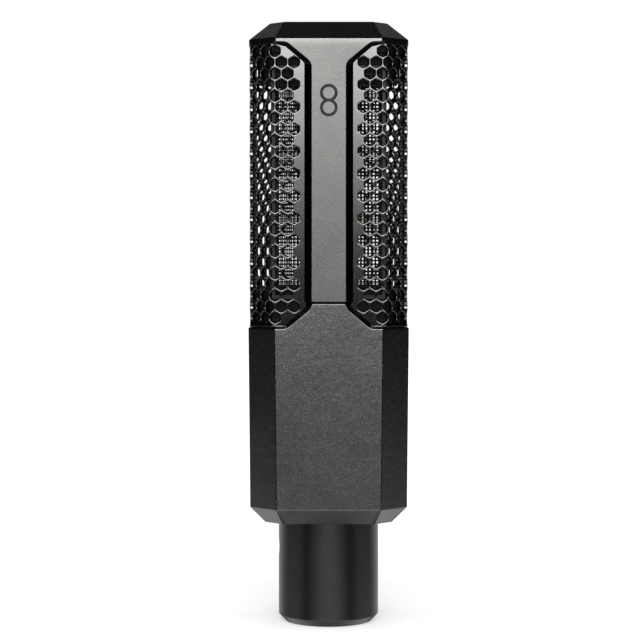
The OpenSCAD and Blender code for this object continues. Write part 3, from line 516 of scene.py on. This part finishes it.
def cap_skin():
    """Cap as one grid of rings: underside, upright band, rounded edge, sloping band and softened rim, closed by
    a flat lid and by a flat roof inside. The front and rear of the band step back by RIB_T behind the ribs'
    wide ends."""
    half = HEAD[0] / 2 - HEAD[2]
    share = (np.linspace(-12.8, 12.8, 17) / half + 1) / 2
    ring = Ring([share, PLAIN, PLAIN, PLAIN, share, PLAIN, PLAIN, PLAIN])
    n = ring.count
    front = np.isin(ring.face, (0, 4))

    def level(d, z, recess=0.0, radius=0.5):
        xy = ring.at(inset(HEAD, d), max(radius - 0.25 * d, 0.05) if d < 3 else radius)
        xy[front, 1] -= np.sign(xy[front, 1]) * recess
        return np.column_stack([xy, np.full(n, z)])

    def inside(d, z):
        return np.column_stack([ring.at(inset(SHEET, d), 0.1), np.full(n, z)])

    rows = [inside(3, WINDOW_Z + 0.01), inside(SHEET_T + 0.1, WINDOW_Z + 0.01)]
    rows += [level(0.06, WINDOW_Z, RIB_T - 0.06), level(0, WINDOW_Z + 0.06, RIB_T), level(0, 143.0, RIB_T)]
    section = rounded([(0, 140), (0, CAP_Z), (5.1, TOP_Z), (9, TOP_Z)], [0, 0.25, 1.0, 0], 5)
    # The step back ends part of the way round the lower arc, where the ribs' rounded top edge meets it.
    rows += [level(d, z, RIB_T) for d, z in section[1:3]]
    rows += [level(d, z) for d, z in section[3:7]]
    rows += [level(d, z, radius=0.9) for d, z in section[7:13]]
    c = np.arange(n)
    last = (len(rows) - 1) * n
    inner = last + n
    lid, roof = (last + c)[None], (inner + c)[None, ::-1]
    wall = np.stack([inner + c, inner + (c + 1) % n, (c + 1) % n, c], 1)
    faces = [grid_faces(len(rows), n, wrap_columns=True), lid, wall, roof]
    points = np.concatenate(rows + [inside(3, ROOF_Z)])
    flats(put("cap_skin", points, faces, "cap_black", ["head_cap"]))


# How far down the collar under the cap reaches, and how far up the one on the rim
CAP_COLLAR_Z = 140.26
RING_COLLAR_Z = 76.0


def collar(name, node, z_low, z_high):
    """Upright band behind the grille's end: a section with rounded corners, carried round the head. Though it
    belongs to the cap or the rim, it takes the near-black bulkhead finish, darker than theirs: painted shade
    for the shadow behind the grille.
    """
    ring = Ring([PLAIN] * 8)
    section = rounded([(1.95, z_low), (1.3, z_low), (1.3, z_high), (1.95, z_high)], [0.08] * 4, 2)
    rows = [np.column_stack([ring.at(inset(SHEET, d), 0.1), np.full(ring.count, z)]) for d, z in section]
    faces = grid_faces(len(rows), ring.count, wrap_rows=True, wrap_columns=True)
    # Painted shade: the near-black bulkhead finish stands in for the shadow behind the grille
    flats(put(name, np.concatenate(rows), [faces], "bulkhead_plastic", [node]))


# ---- ribs ----

# Right half of a rib's outline: across and up on its front face, and where that point lands on the sheet
RIB_EDGE = np.array([
    [1.4, RIB_Z, 1.96, RIB_Z], [2.8, RIB_Z, 3.93, RIB_Z], [4.1, RIB_Z, 5.8, RIB_Z], [4.2, 80.05, 5.9, 80.05],
    [4.2, 86.0, 5.9, 86.0], [4.2, 100.0, 5.9, 100.0], [4.2, 114.0, 5.9, 114.0], [4.2, 128.0, 5.9, 128.0],
    [4.2, 135.2, 5.9, 135.0], [4.2, 136.3, 5.9, 136.3], [4.24, 136.95, 5.9, 137.0], [4.42, 137.5, 5.93, 137.4],
    [4.75, 138.0, 6.05, 137.7], [5.3, 138.5, 6.4, 138.05], [6.4, 139.4, 7.3, 138.85], [7.9, 140.63, 8.8, 140.1],
    [9.1, 141.61, 10.0, 141.1], [9.7, 142.08, 10.6, 141.62], [10.2, 142.36, 11.1, 141.98],
    [10.8, 142.49, 11.5, 142.06], [11.6, 142.52, 12.0, 142.07], [12.9, 142.54, 12.9, 142.08],
    [12.9, 143.0, 12.9, 143.0], [12.9, 143.55, 12.9, 143.55],
])
RIB_EDGE_R = 0.14
RIB_TOP_R = 0.3
ROLL_Z = 141.6
ROLL = 0.0194
# The spine behind the sheet reaches this far across, up and back
SPINE_HALF = 5.4
SPINE_TOP = 140.15
SPINE_BACK_Y = 13.5


def rib_surface():
    """A rib as rings of the same points: front outline, three steps of edge rounding, base on the sheet, spine.
    The front and the back are filled by strips between each point and its twin on the other side of the
    middle. Above ROLL_Z the face rolls back by ROLL times the square of the height over that."""
    front, base = (np.concatenate([e, e[::-1] * [-1, 1]]) for e in (RIB_EDGE[:, :2], RIB_EDGE[:, 2:]))
    n = len(front)
    tips = [n // 2 - 1, n // 2]
    ahead = np.roll(front, -1, 0) - np.roll(front, 1, 0)
    ahead /= np.linalg.norm(ahead, axis=1)[:, None]
    out = np.column_stack([ahead[:, 1], -ahead[:, 0]])
    out[tips] = (0, 1)
    radius = np.full(n, RIB_EDGE_R)
    radius[tips] = RIB_TOP_R
    back = np.array([1 - math.cos(a) for a in np.radians([0, 30, 60, 90])])[:, None] * radius
    back[-1, tips] = 0.55 * RIB_TOP_R
    rings = []
    for a, behind in zip(np.radians([0, 30, 60, 90]), back):
        plane = front + out * radius[:, None] * (math.sin(a) - 1)
        y = behind - FRONT_Y + ROLL * np.maximum(plane[:, 1] - ROLL_Z, 0) ** 2
        rings.append(np.column_stack([plane[:, 0], y, plane[:, 1]]))
    spine = np.column_stack([np.clip(base[:, 0], -SPINE_HALF, SPINE_HALF), np.minimum(base[:, 1], SPINE_TOP)])
    for plane, depth in (
        (base, SHEET_FACE_Y + 0.05), (base, SHEET_FACE_Y), (spine, SHEET_FACE_Y), (spine, SPINE_BACK_Y)
    ):
        rings.append(np.column_stack([plane[:, 0], np.full(n, -depth), plane[:, 1]]))
    c = np.arange(n // 2 - 1)
    fill = np.stack([c, c + 1, n - 2 - c, n - 1 - c], 1)
    band = grid_faces(len(rings), n, wrap_columns=True, flip=True)
    faces = np.concatenate([band, fill, fill[:, ::-1] + (len(rings) - 1) * n])
    return merged(np.concatenate(rings)[faces])


def ribs():
    points, faces = rib_surface()
    flats(put("rib_front_skin", points, faces, "rib_metal", ["front_rib"]))
    flats(put("rib_rear_skin", *mirrored(points, faces, 1), "rib_metal", ["rear_rib"]))


def polar_mark():
    """Figure of eight of two equal circles that touch: rings of ink with a flat face and rounded rims. One ring
    stands a hair proud of the other, so that their faces don't coincide where they cross."""
    r, line, middle_z, face_y, sunk, hair = 2.2, 0.85, 128.5, -16.694, 0.4, 0.004
    section = rounded([(r, 0), (r, -sunk), (r - line, -sunk), (r - line, 0)], [0.08, 0, 0, 0.08], 3)
    count = 96
    a = np.linspace(0, 2 * math.pi, count + 1)[:-1, None]
    pieces, faces = [], []
    for k, side in enumerate((-1, 1)):
        x = section[:, 0] * np.cos(a)
        z = section[:, 0] * np.sin(a) + middle_z + side * (r - line / 2)
        y = np.broadcast_to(face_y - section[:, 1] - hair * k, x.shape)
        pieces.append(np.stack([x, y, z], -1).reshape(-1, 3))
        faces.append(grid_faces(count, len(section), True, True) + k * x.size)
    put("polar_mark_ink", np.concatenate(pieces), faces, "mark_ink", ["polar_mark"])


# ---- grille ----

PITCH = 3.09
WEB = 0.34
SHEET_T = 1.2
RIM = 0.15
ROW_PITCH = PITCH * math.sqrt(3) / 2
ROWS = 25
ROWS_RAISED = 0.15
FIRST_ROW_Z = (WINDOW_Z + SHEET_Z - (ROWS - 1) * ROW_PITCH) / 2 + ROWS_RAISED
FRONT_HALF = SHEET[0] / 2 - SHEET[2]
CORNER_LEN = SHEET[2] * ROOT2
SIDE_LEN = SHEET[1] - 2 * SHEET[2]
SHEET_LEN = 2 * FRONT_HALF + 2 * CORNER_LEN + SIDE_LEN
EDGE_U = 5.5
COLUMNS = 15
FIRST_U = (SHEET_LEN - COLUMNS * PITCH) / 2
BEND_R = 1.3


def folded(flat):
    """Places (along, up, depth) on the flat sheet, folded round the right half of the head. Along a face the
    place moves straight, and within a bend it turns by its share of 45 degrees about the bend's centre."""
    u, z, depth = flat[..., 0], flat[..., 1], flat[..., 2]
    starts = np.cumsum([0, FRONT_HALF, CORNER_LEN, SIDE_LEN, CORNER_LEN])
    corner = corners_of(SHEET)[[0, 1, 2, 3, 4]].copy()
    corner[0] = (0, -SHEET[1] / 2)
    turn = np.radians([-90, -45, 0, 45, 90])
    face = np.clip(np.searchsorted(starts, u, side="right") - 1, 0, 4)
    normal = np.stack([np.cos(turn[face]), np.sin(turn[face])], -1)
    ahead = np.stack([-np.sin(turn[face]), np.cos(turn[face])], -1)
    xy = corner[face] + ahead * (u - starts[face])[..., None] - normal * depth[..., None]
    tangent = BEND_R * math.tan(math.pi / 8)
    for i in range(1, 5):
        near = np.abs(u - starts[i]) < tangent
        share = (u[near] - starts[i]) / tangent / 2 + 0.5
        a = turn[i - 1] + share * math.pi / 4
        both = np.array([f(turn[i - 1]) + f(turn[i]) for f in (math.cos, math.sin)])
        centre = corner[i] - BEND_R * both / (1 + math.cos(math.pi / 4))
        reach = (BEND_R - depth[near])[:, None]
        xy[near] = centre + reach * np.stack([np.cos(a), np.sin(a)], -1)
    return np.concatenate([xy, z[..., None]], -1)


HEX_STEPS = 4


def hexagon():
    """Points round a hexagon of pitch PITCH that stands on a corner, HEX_STEPS to a side, from its lower
    corner."""
    r = PITCH / math.sqrt(3)
    a = np.radians(-90 + 60 * np.arange(7))
    c = r * np.stack([np.cos(a), np.sin(a)], -1)
    t = np.arange(HEX_STEPS) / HEX_STEPS
    return np.concatenate([(1 - t)[:, None] * c[i] + t[:, None] * c[i + 1] for i in range(6)])


def hexagon_side(border, i):
    """The points of one side of the hexagon, both its corners among them."""
    return np.roll(border, -i * HEX_STEPS, axis=0)[:HEX_STEPS + 1]


def open_cell(border):
    """Loose quads of one cell: from its border in to a hole with rounded corners and rims, through the sheet,
    and back out to the border on the inner face. The hole reaches r = (a^-14 + b^-14)^(-1/14), with a the
    distance to the hexagon's side in that direction and b a circle of 1.1 times the apothem."""
    angle = np.arctan2(border[:, 1], border[:, 0])
    apothem = (PITCH - WEB) / 2
    off = (angle + math.pi / 6) % (math.pi / 3) - math.pi / 6
    reach = ((apothem / np.cos(off)) ** -14 + (1.10 * apothem) ** -14) ** (-1 / 14)
    way = np.stack([np.cos(angle), np.sin(angle)], -1)
    hole = (
        (RIM, 0), (RIM * 0.5, RIM * 0.13), (RIM * 0.13, RIM * 0.5), (0, RIM),
        (0, SHEET_T - 0.05), (0.05, SHEET_T),
    )
    rings = [(border, 0)] + [(way * (reach + out)[:, None], depth) for out, depth in hole] + [(border, SHEET_T)]
    rings = np.array([np.column_stack([xy, np.full(len(border), depth)]) for xy, depth in rings])
    ahead = np.roll(rings, -1, axis=1)
    return np.stack([rings[:-1], ahead[:-1], ahead[1:], rings[1:]], 2).reshape(-1, 4, 3)


def shut_cell(border):
    """Loose quads of a cell with no hole: fans on both faces."""
    fans = []
    for depth in (0.0, SHEET_T):
        ring = np.column_stack([border, np.full(len(border), depth)])
        middle = np.broadcast_to([0, 0, depth], ring.shape)
        quad = np.stack([ring, np.roll(ring, -1, 0), middle, middle], 1)
        fans.append(quad if depth == 0 else quad[:, ::-1])
    return np.concatenate(fans)


def margin(inner, outer):
    """Front and back quads between two chains on the flat sheet, and the wall along the outer one."""
    found = []
    for depth in (0.0, SHEET_T):
        a, b = (np.column_stack([chain, np.full(len(chain), depth)]) for chain in (inner, outer))
        quad = np.stack([a[:-1], a[1:], b[1:], b[:-1]], 1)
        found.append(quad if depth == 0 else quad[:, ::-1])
    f, g = (np.column_stack([outer, np.full(len(outer), depth)]) for depth in (0.0, SHEET_T))
    found.append(np.stack([f[:-1], f[1:], g[1:], g[:-1]], 1))
    return np.concatenate(found)


def perforated_sheet():
    """The flat sheet as loose quads (n, 4, 3): its cells, and plain margins from the zigzag border of the cells
    out to the straight edges. Even rows have COLUMNS cells, odd rows one more, and the end cells of the first
    and last rows have no hole."""
    border = hexagon()
    centres, solid, side = [], [], []
    for i in range(ROWS):
        odd = i % 2
        z = FIRST_ROW_Z + i * ROW_PITCH
        u = FIRST_U + (np.arange(COLUMNS + odd) + (1 - odd) * 0.5) * PITCH
        centres.append(np.column_stack([u, np.full(len(u), z), np.zeros(len(u))]))
        ends = (np.arange(len(u)) == 0) | (np.arange(len(u)) == len(u) - 1)
        solid.append(ends & (i in (0, ROWS - 1)))
        side.append(hexagon_side(border, 4)[::-1] + [u[0], z])
        if i < ROWS - 1 and odd:
            side.append(hexagon_side(border, 3)[::-1] + [u[0], z])
        elif i < ROWS - 1:
            side.append(hexagon_side(border, 5)[::-1] + [FIRST_U, z + ROW_PITCH])
    centres, solid = np.concatenate(centres), np.concatenate(solid)
    quads = [
        (cell[None] + centres[chosen][:, None, None]).reshape(-1, 4, 3)
        for cell, chosen in ((open_cell(border), ~solid), (shut_cell(border), solid))
    ]

    side = np.concatenate(side)
    side = side[np.argsort(side[:, 1], kind="stable")]
    on_edge = np.column_stack([np.full(len(side), EDGE_U), side[:, 1]])
    far_side, far_edge = (chain * [-1, 1] + [SHEET_LEN, 0] for chain in (side, on_edge))
    quads += [margin(side, on_edge), margin(far_side, far_edge)[:, ::-1]]

    last_row_z = FIRST_ROW_Z + (ROWS - 1) * ROW_PITCH
    for row_z, edge_z, sides, order in (
        (last_row_z, WINDOW_Z, (3, 2), 1), (FIRST_ROW_Z, SHEET_Z, (5, 0), -1)
    ):
        middles = FIRST_U + (np.arange(COLUMNS) + 0.5) * PITCH
        chain = np.concatenate([hexagon_side(border, i) + [u, row_z] for u in middles for i in sides])
        chain = chain[np.argsort(chain[:, 0], kind="stable")]
        quads.append(margin(chain, np.column_stack([chain[:, 0], np.full(len(chain), edge_z)]))[:, ::order])
        # The corner of the sheet beyond the chain, on both sides
        near_z = side[-1 if order > 0 else 0, 1]
        near = margin(*(np.array([[u, near_z], [u, edge_z]]) for u in (FIRST_U, EDGE_U)))
        end = [(EDGE_U, edge_z, 0), (FIRST_U, edge_z, 0), (FIRST_U, edge_z, SHEET_T), (EDGE_U, edge_z, SHEET_T)]
        near = np.concatenate([near, [end]])[:, ::order]
        far = near * [-1, 1, 1] + [SHEET_LEN, 0, 0]
        quads += [near, far[:, ::-1]]
    return np.concatenate(quads)


def grilles():
    """The sheet folded round the right side, and its mirror image on the left."""
    quads = perforated_sheet()
    area = np.linalg.norm(np.cross(quads[:, 2] - quads[:, 0], quads[:, 3] - quads[:, 1]), axis=1)
    points, faces = merged(folded(quads[area > 1e-7]))
    flats(put("grille_right_sheet", points, faces, "grille_metal", ["grille_right"]))
    flats(put("grille_left_sheet", *mirrored(points, faces, 0), "grille_metal", ["grille_left"]))


SCREEN_Y = -13.35
# The screen frame's outside, and how wide and thick it is
SCREEN_HALF = 14.0
SCREEN_LOW, SCREEN_HIGH = 80.52, 137.08
SCREEN_EDGE, SCREEN_T = 1.08, 0.3


def woven_screen():
    """Plain weave: flattened wires a set pitch apart each way. A wire's height is a cosine along its length,
    with the opposite sign on the next wire, so that it goes over one crossing and under the next."""
    pitch, half_w, half_t, swing = 0.9, 0.155, 0.06, 0.075
    half_x, low, high = 13.1, 80.7, 136.9
    nx, nz = int(2 * half_x / pitch) + 1, int((high - low) / pitch) + 1
    xs = (np.arange(nx) - (nx - 1) / 2) * pitch
    zs = (low + high) / 2 + (np.arange(nz) - (nz - 1) / 2) * pitch
    section = np.array([[-half_w, 0], [0, -half_t], [half_w, 0], [0, half_t]])
    points, faces, base = [], [], 0
    for places, length, start, sign in ((xs, nz, zs[0], 1), (zs, nx, xs[0], -1)):
        s = np.arange(2 * length - 1) / 2
        wire = np.arange(len(places))
        height = sign * swing * np.cos(math.pi * s) * np.where(wire % 2 == 0, 1, -1)[:, None]
        across = places[:, None, None] + np.broadcast_to(section[:, 0], (*height.shape, 4))
        along = np.broadcast_to((start + s * pitch)[:, None], across.shape)
        y = SCREEN_Y + height[..., None] + section[:, 1]
        points.append(np.stack([across, y, along][::sign], -1).reshape(-1, 3))
        tube = grid_faces(len(s), 4, wrap_columns=True, flip=sign < 0)
        ends = np.array([[3, 2, 1, 0], [0, 1, 2, 3]])[:, ::sign] + np.array([[0], [4 * (len(s) - 1)]])
        one = np.concatenate([tube, ends])
        faces.append((one[None] + (base + wire * len(s) * 4)[:, None, None]).reshape(-1, 4))
        base += across.size
    return np.concatenate(points), faces


def screen_frame():
    """Folded edge round the weave: a thin section with rounded corners, carried round a rectangle with mitred
    corners."""
    t = SCREEN_T / 2
    section = rounded([(0, -t), (SCREEN_EDGE, -t), (SCREEN_EDGE, t), (0, t)], [0.1] * 4, 3)
    inward = np.array([[1, 1], [-1, 1], [-1, -1], [1, -1]])
    outer = np.where(inward > 0, (-SCREEN_HALF, SCREEN_LOW), (SCREEN_HALF, SCREEN_HIGH))
    rows = outer[:, None] + inward[:, None] * section[:, :1]
    y = np.broadcast_to(SCREEN_Y + section[:, 1], rows.shape[:2])
    points = np.stack([rows[..., 0], y, rows[..., 1]], -1).reshape(-1, 3)
    return points, [grid_faces(4, len(section), True, True, flip=True)]


def screens():
    """Front and rear: the weave, and the frame round it."""
    for part, (points, faces) in (("wire", woven_screen()), ("frame", screen_frame())):
        front = put(f"screen_front_{part}", points, faces, "mesh_metal", ["inner_mesh_front"])
        rear = put(f"screen_rear_{part}", *mirrored(points, faces, 1), "mesh_metal", ["inner_mesh_rear"])
        if part == "frame":
            flats(front)
            flats(rear)


# ---- lower rim of the head ----

def head_ring_skin():
    """Rim plate with rounded edges under the sheets. Its front and rear step back behind the body's tabs."""
    half = HEAD[0] / 2 - HEAD[2]
    tab_half = 11.17
    ends = np.array([tab_half - 0.02, tab_half + 0.02, 11.7, 12.3])
    share = (np.concatenate([-ends[::-1], np.linspace(-10.5, 10.5, 13), ends]) / half + 1) / 2
    ring = Ring([share, PLAIN, PLAIN, PLAIN, share, PLAIN, PLAIN, PLAIN])
    behind_tab = np.isin(ring.face, (0, 4)) & (np.abs(ring.at(HEAD, 0)[:, 0]) < tab_half)
    section = rounded([(2.0, HEAD_Z), (0, HEAD_Z), (0, SHEET_Z), (2.0, SHEET_Z)], [0, 0.06, 0.1, 0], 3)
    inner = ring.at(inset(SHEET, 3.2), 0.1)
    rows = [(inner, HEAD_Z)]
    for d, z in section[1:-1]:
        xy = ring.at(inset(HEAD, d), 0.5)
        xy[behind_tab, 1] = np.sign(xy[behind_tab, 1]) * (SHEET_FACE_Y - 0.02 - d)
        rows.append((xy, z))
    rows.append((inner, SHEET_Z))
    points = np.concatenate([np.column_stack([xy, np.full(ring.count, z)]) for xy, z in rows])
    faces = grid_faces(len(rows), ring.count, wrap_rows=True, wrap_columns=True)
    flats(put("head_ring_skin", points, [faces], "ring_metal", ["head_ring"]))


# ---- barrel ----

def barrel_skin():
    """Barrel turned from its section: bore, rim, chamfer, outside, neck and step. Round the screw hole the
    outside is a square patch whose rings close in on the countersink, each pushed out onto the cylinder."""
    r, bore, neck = 12.45, 9.6, 9.5
    screw_z, hole_r, seat_x, hole_end_x = 18.5, 1.15, -11.45, -9.7
    count, across = 144, 12
    step = 2 * math.pi / count
    turn = math.pi + (np.arange(count) - across / 2) * step
    patch = across * step * r / 2
    lower = rounded([(bore, 16), (bore, 0), (10.85, 0), (r, 1.75), (r, 10)], [0, 0.25, 0.25, 0.3, 0], 4)[:-1]
    climb = np.array([(r, z) for z in (4.0, 6.5, 9.0, 12.0)])
    patch_z = np.linspace(screw_z - patch, screw_z + patch, across + 1)
    upper = rounded(
        [(r, 20), (r, FOOT_Z - 0.02), (neck, FOOT_Z - 0.02), (neck, 33.5), (7, 33.5), (7, 24), (bore, 24)],
        [0, 0.12, 0, 0.1, 0.1, 0, 0], 3)[1:]
    section = np.concatenate([lower, climb, np.column_stack([np.full(len(patch_z), r), patch_z]), upper])
    first_patch_row = len(lower) + len(climb)
    x, y = section[:, :1] * np.cos(turn), section[:, :1] * np.sin(turn)
    points = np.stack([x, y, np.broadcast_to(section[:, 1:], x.shape)], -1).reshape(-1, 3)
    rows = len(section)
    quads = grid_faces(rows, count, True, True)
    row, column = quads[:, 0] // count, quads[:, 0] % count
    covered = (row >= first_patch_row) & (row < first_patch_row + across) & (column < across)
    quads = quads[~covered]

    # The patch's border, row by row up and back again
    i, low, high = np.arange(across), np.full(across, 0), np.full(across, across)
    square = np.concatenate([
        np.stack(pair, 1) for pair in ((low, i), (i, high), (high, across - i), (across - i, low))])
    border = (first_patch_row + square[:, 0]) * count + square[:, 1]
    py, pz = points[border, 1], points[border, 2] - screw_z
    a = np.arctan2(pz, py)
    # The 45 degree countersink meets the cylinder at this reach from the screw's axis, found by iteration.
    q = np.full(len(a), 2.1)
    for _ in range(4):
        q = hole_r + np.sqrt(r * r - (q * np.cos(a)) ** 2) + seat_x
    rings = []
    for t in (0.3, 0.6, 0.85, 1.0):
        yy = (1 - t) * py + t * (q + 0.12) * np.cos(a)
        zz = (1 - t) * pz + t * (q + 0.12) * np.sin(a)
        rings.append(np.stack([-np.sqrt(r * r - yy * yy), yy, zz + screw_z], 1))
    for reach, back in ((q + 0.03, 0.03), (q - 0.1, 0.16)):
        yy, zz = reach * np.cos(a), reach * np.sin(a)
        rings.append(np.stack([-np.sqrt(r * r - yy * yy) + back, yy, zz + screw_z], 1))
    for x_in in (seat_x, hole_end_x):
        rings.append(np.stack([np.full(len(a), x_in), hole_r * np.cos(a), screw_z + hole_r * np.sin(a)], 1))
    base = len(points)
    points = np.concatenate([points] + rings + [[[hole_end_x, 0, screw_z]]])
    m = len(a)
    c = np.arange(m)
    joins = np.stack([border, np.roll(border, -1), base + (c + 1) % m, base + c], 1)
    inner = grid_faces(len(rings), m, wrap_columns=True) + base
    last = base + (len(rings) - 1) * m
    bottom = np.stack([last + c, last + (c + 1) % m, np.full(m, len(points) - 1)], 1)
    flats(put("barrel_skin", points, [quads, joins, inner, bottom], "barrel_black", ["barrel"]))


# ---- ribbon ----

RIBBON_LOW, CLAMP_LOW, RIBBON_MIDDLE, CLAMP_HIGH, RIBBON_HIGH = 85.7, 90.5, 108.8, 127.1, 131.9
FOLD_PITCH = 1.1619


def ribbon_half(name, z_end, z_middle):
    """Half of the ribbon: a strip whose height is a triangle wave, rounded at its folds, between its clamp and
    the middle, flat where it is clamped, and as thick as foil looks at this size."""
    wide, thick, fold = 1.3, 0.03, 0.2
    up = z_middle > z_end
    clamp = CLAMP_LOW if up else CLAMP_HIGH
    z = np.linspace(z_end, z_middle, 421)
    free = np.abs(z - z_end) > abs(clamp - z_end)
    phase = (z - CLAMP_LOW) / FOLD_PITCH * math.pi
    height = fold * 2 / math.pi * np.arcsin(0.97 * np.sin(phase)) * free
    corners = ((-wide, thick), (wide, thick), (wide, -thick), (-wide, -thick))
    points = np.stack([np.column_stack([np.full(len(z), x), height + y, z]) for x, y in corners], 1)
    ends = np.array([[0, 1, 2, 3], [3, 2, 1, 0]]) + np.array([[0], [4 * (len(z) - 1)]])
    faces = [grid_faces(len(z), 4, wrap_columns=True, flip=up), ends if up else ends[:, ::-1]]
    piece = put(name, points.reshape(-1, 3), faces, "ribbon_foil", body=None)
    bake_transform(piece)
    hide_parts("ribbon")


# ---- what the frame keeps ----

def dress_frame():
    """Every CAD node that still shows gets the finish of its own slot."""
    for name, piece in frame["nodes"].items():
        slot = SLOT_OF.get(name)
        piece.data.materials.clear()
        piece.data.materials.append(FINISHES[slot])


# ---- studio ----

def floor():
    """A flat pale sheet that the microphone stands on. It glows towards plain white away from the middle."""
    count = 3
    x, y = np.meshgrid(*[np.linspace(-2500, 2500, count)] * 2)
    points = np.stack([x, y, np.zeros_like(x)], -1).reshape(-1, 3) * MM
    mesh = bpy.data.meshes.new("floor")
    mesh.from_pydata(points.tolist(), [], grid_faces(count, count).tolist())
    plate = bpy.data.objects.new("floor", mesh)
    bpy.context.scene.collection.objects.link(plate)
    f = Finish("floor_paper", Roughness=0.9, Specular_IOR_Level=0.0, Emission_Color=(1, 1, 1, 1))
    f.set("Base Color", f.mix(f.noise(40, 3.0), grey(0.80), grey(0.84)))
    away = f.node("ShaderNodeVectorMath", {"Vector": f.place}, operation="LENGTH").outputs["Value"]
    f.set("Emission Strength", f.range(away, 0.05, 0.5, 0.55, 1.0))
    mesh.materials.append(f.material)
    plate.visible_glossy = False


def studio():
    """Light from all round as one function of direction, mirrored by the metal: a soft tall panel in front,
    white paper behind and below, and little from the sides and above. What the camera sees directly is plain
    white. Each light is a product of soft steps in the direction's parts: aside, y to the rear and z up."""
    world = bpy.data.worlds.new("studio")
    bpy.context.scene.world = world
    world.use_nodes = True
    sky = Nodes(world.node_tree)
    way = sky.node("ShaderNodeTexCoord").outputs["Generated"]
    x, y, z = sky.node("ShaderNodeSeparateXYZ", {0: way}).outputs
    aside = sky.math("ABSOLUTE", x)

    def ramp(value, low, high, out_low=0.0, out_high=1.0, kind="SMOOTHSTEP"):
        return sky.range(value, low, high, out_low, out_high, interpolation_type=kind)

    def times(*values):
        return values[0] if len(values) == 1 else sky.math("MULTIPLY", values[0], times(*values[1:]))

    def plus(*values):
        return values[0] if len(values) == 1 else sky.math("ADD", values[0], plus(*values[1:]))

    panel = times(
        sky.math("POWER", ramp(z, -0.005, 0.17, 0, 1, "LINEAR"), 1.5), ramp(z, 0.4, 0.7, 1, 0),
        ramp(y, -0.3, -0.7), ramp(aside, 0.17, 0.42, 1, 0), 5.2)
    paper = times(ramp(y, 0.3, 0.75), ramp(z, -0.5, -0.1), ramp(z, 0.4, 0.7, 1, 0), 0.6)
    behind = times(ramp(y, 0.4, 0.56), ramp(z, 0.4, 0.6), ramp(aside, 0.2, 0.4, 1, 0), 0.4)
    sides = times(ramp(aside, 0.75, 0.97), ramp(z, -0.08, -0.22), 0.45)
    ground = times(ramp(z, -0.35, -0.7), plus(0.2, times(ramp(y, -0.1, 0.5), 0.6)))
    low_front = times(ramp(z, -0.16, -0.205), ramp(y, 0.0, -0.6), ramp(aside, 0.3, 0.98, 1, 0), 0.66)
    ceiling = times(ramp(z, 0.75, 0.95), 0.04)
    total = plus(panel, paper, behind, sides, ground, low_front, ceiling, 0.003)
    seen = sky.node("ShaderNodeLightPath").outputs["Is Camera Ray"]
    strength = sky.node("ShaderNodeMix", {0: seen, 2: total, 3: 1.0}, data_type="FLOAT").outputs[0]
    background = sky.tree.nodes["Background"]
    background.inputs["Color"].default_value = (1, 1, 1, 1)
    sky.tree.links.new(strength, background.inputs["Strength"])


def overhead():
    """A wide soft lamp above, which gives the floor its soft contact shadow and isn't mirrored in the metal."""
    lamp = bpy.data.lights.new("overhead", "AREA")
    lamp.size = 1.0
    lamp.energy = 8.0
    ahead, height = 0.25, 1.2
    holder = bpy.data.objects.new("overhead", lamp)
    holder.location = (0, -ahead, height)
    holder.rotation_euler = (math.atan2(ahead, height), 0, 0)
    holder.visible_glossy = False
    bpy.context.scene.collection.objects.link(holder)


def camera():
    """Level with the lower part of the head, straight in front but for a hair to the left, and tipped down
    slightly."""
    lens = bpy.data.cameras.new("camera")
    lens.sensor_width = 36
    lens.lens = 108.64
    lens.clip_start = 0.01
    lens.clip_end = 20
    eye = bpy.data.objects.new("camera", lens)
    eye.location = (-0.002117, -0.48229, 0.09145)
    eye.rotation_euler = (math.radians(90 - 1.9463), 0, 0)
    bpy.context.scene.collection.objects.link(eye)
    bpy.context.scene.camera = eye
    bpy.context.scene.view_settings.view_transform = "Standard"


dress_frame()
body_skin()
cap_skin()
ribs()
polar_mark()
grilles()
screens()
head_ring_skin()
collar("cap_collar", "head_cap", CAP_COLLAR_Z, WINDOW_Z)
collar("ring_collar", "head_ring", SHEET_Z, RING_COLLAR_Z)
barrel_skin()
ribbon_half("ribbon_lower", RIBBON_LOW, RIBBON_MIDDLE)
ribbon_half("ribbon_upper", RIBBON_HIGH, RIBBON_MIDDLE)
floor()
studio()
overhead()
camera()
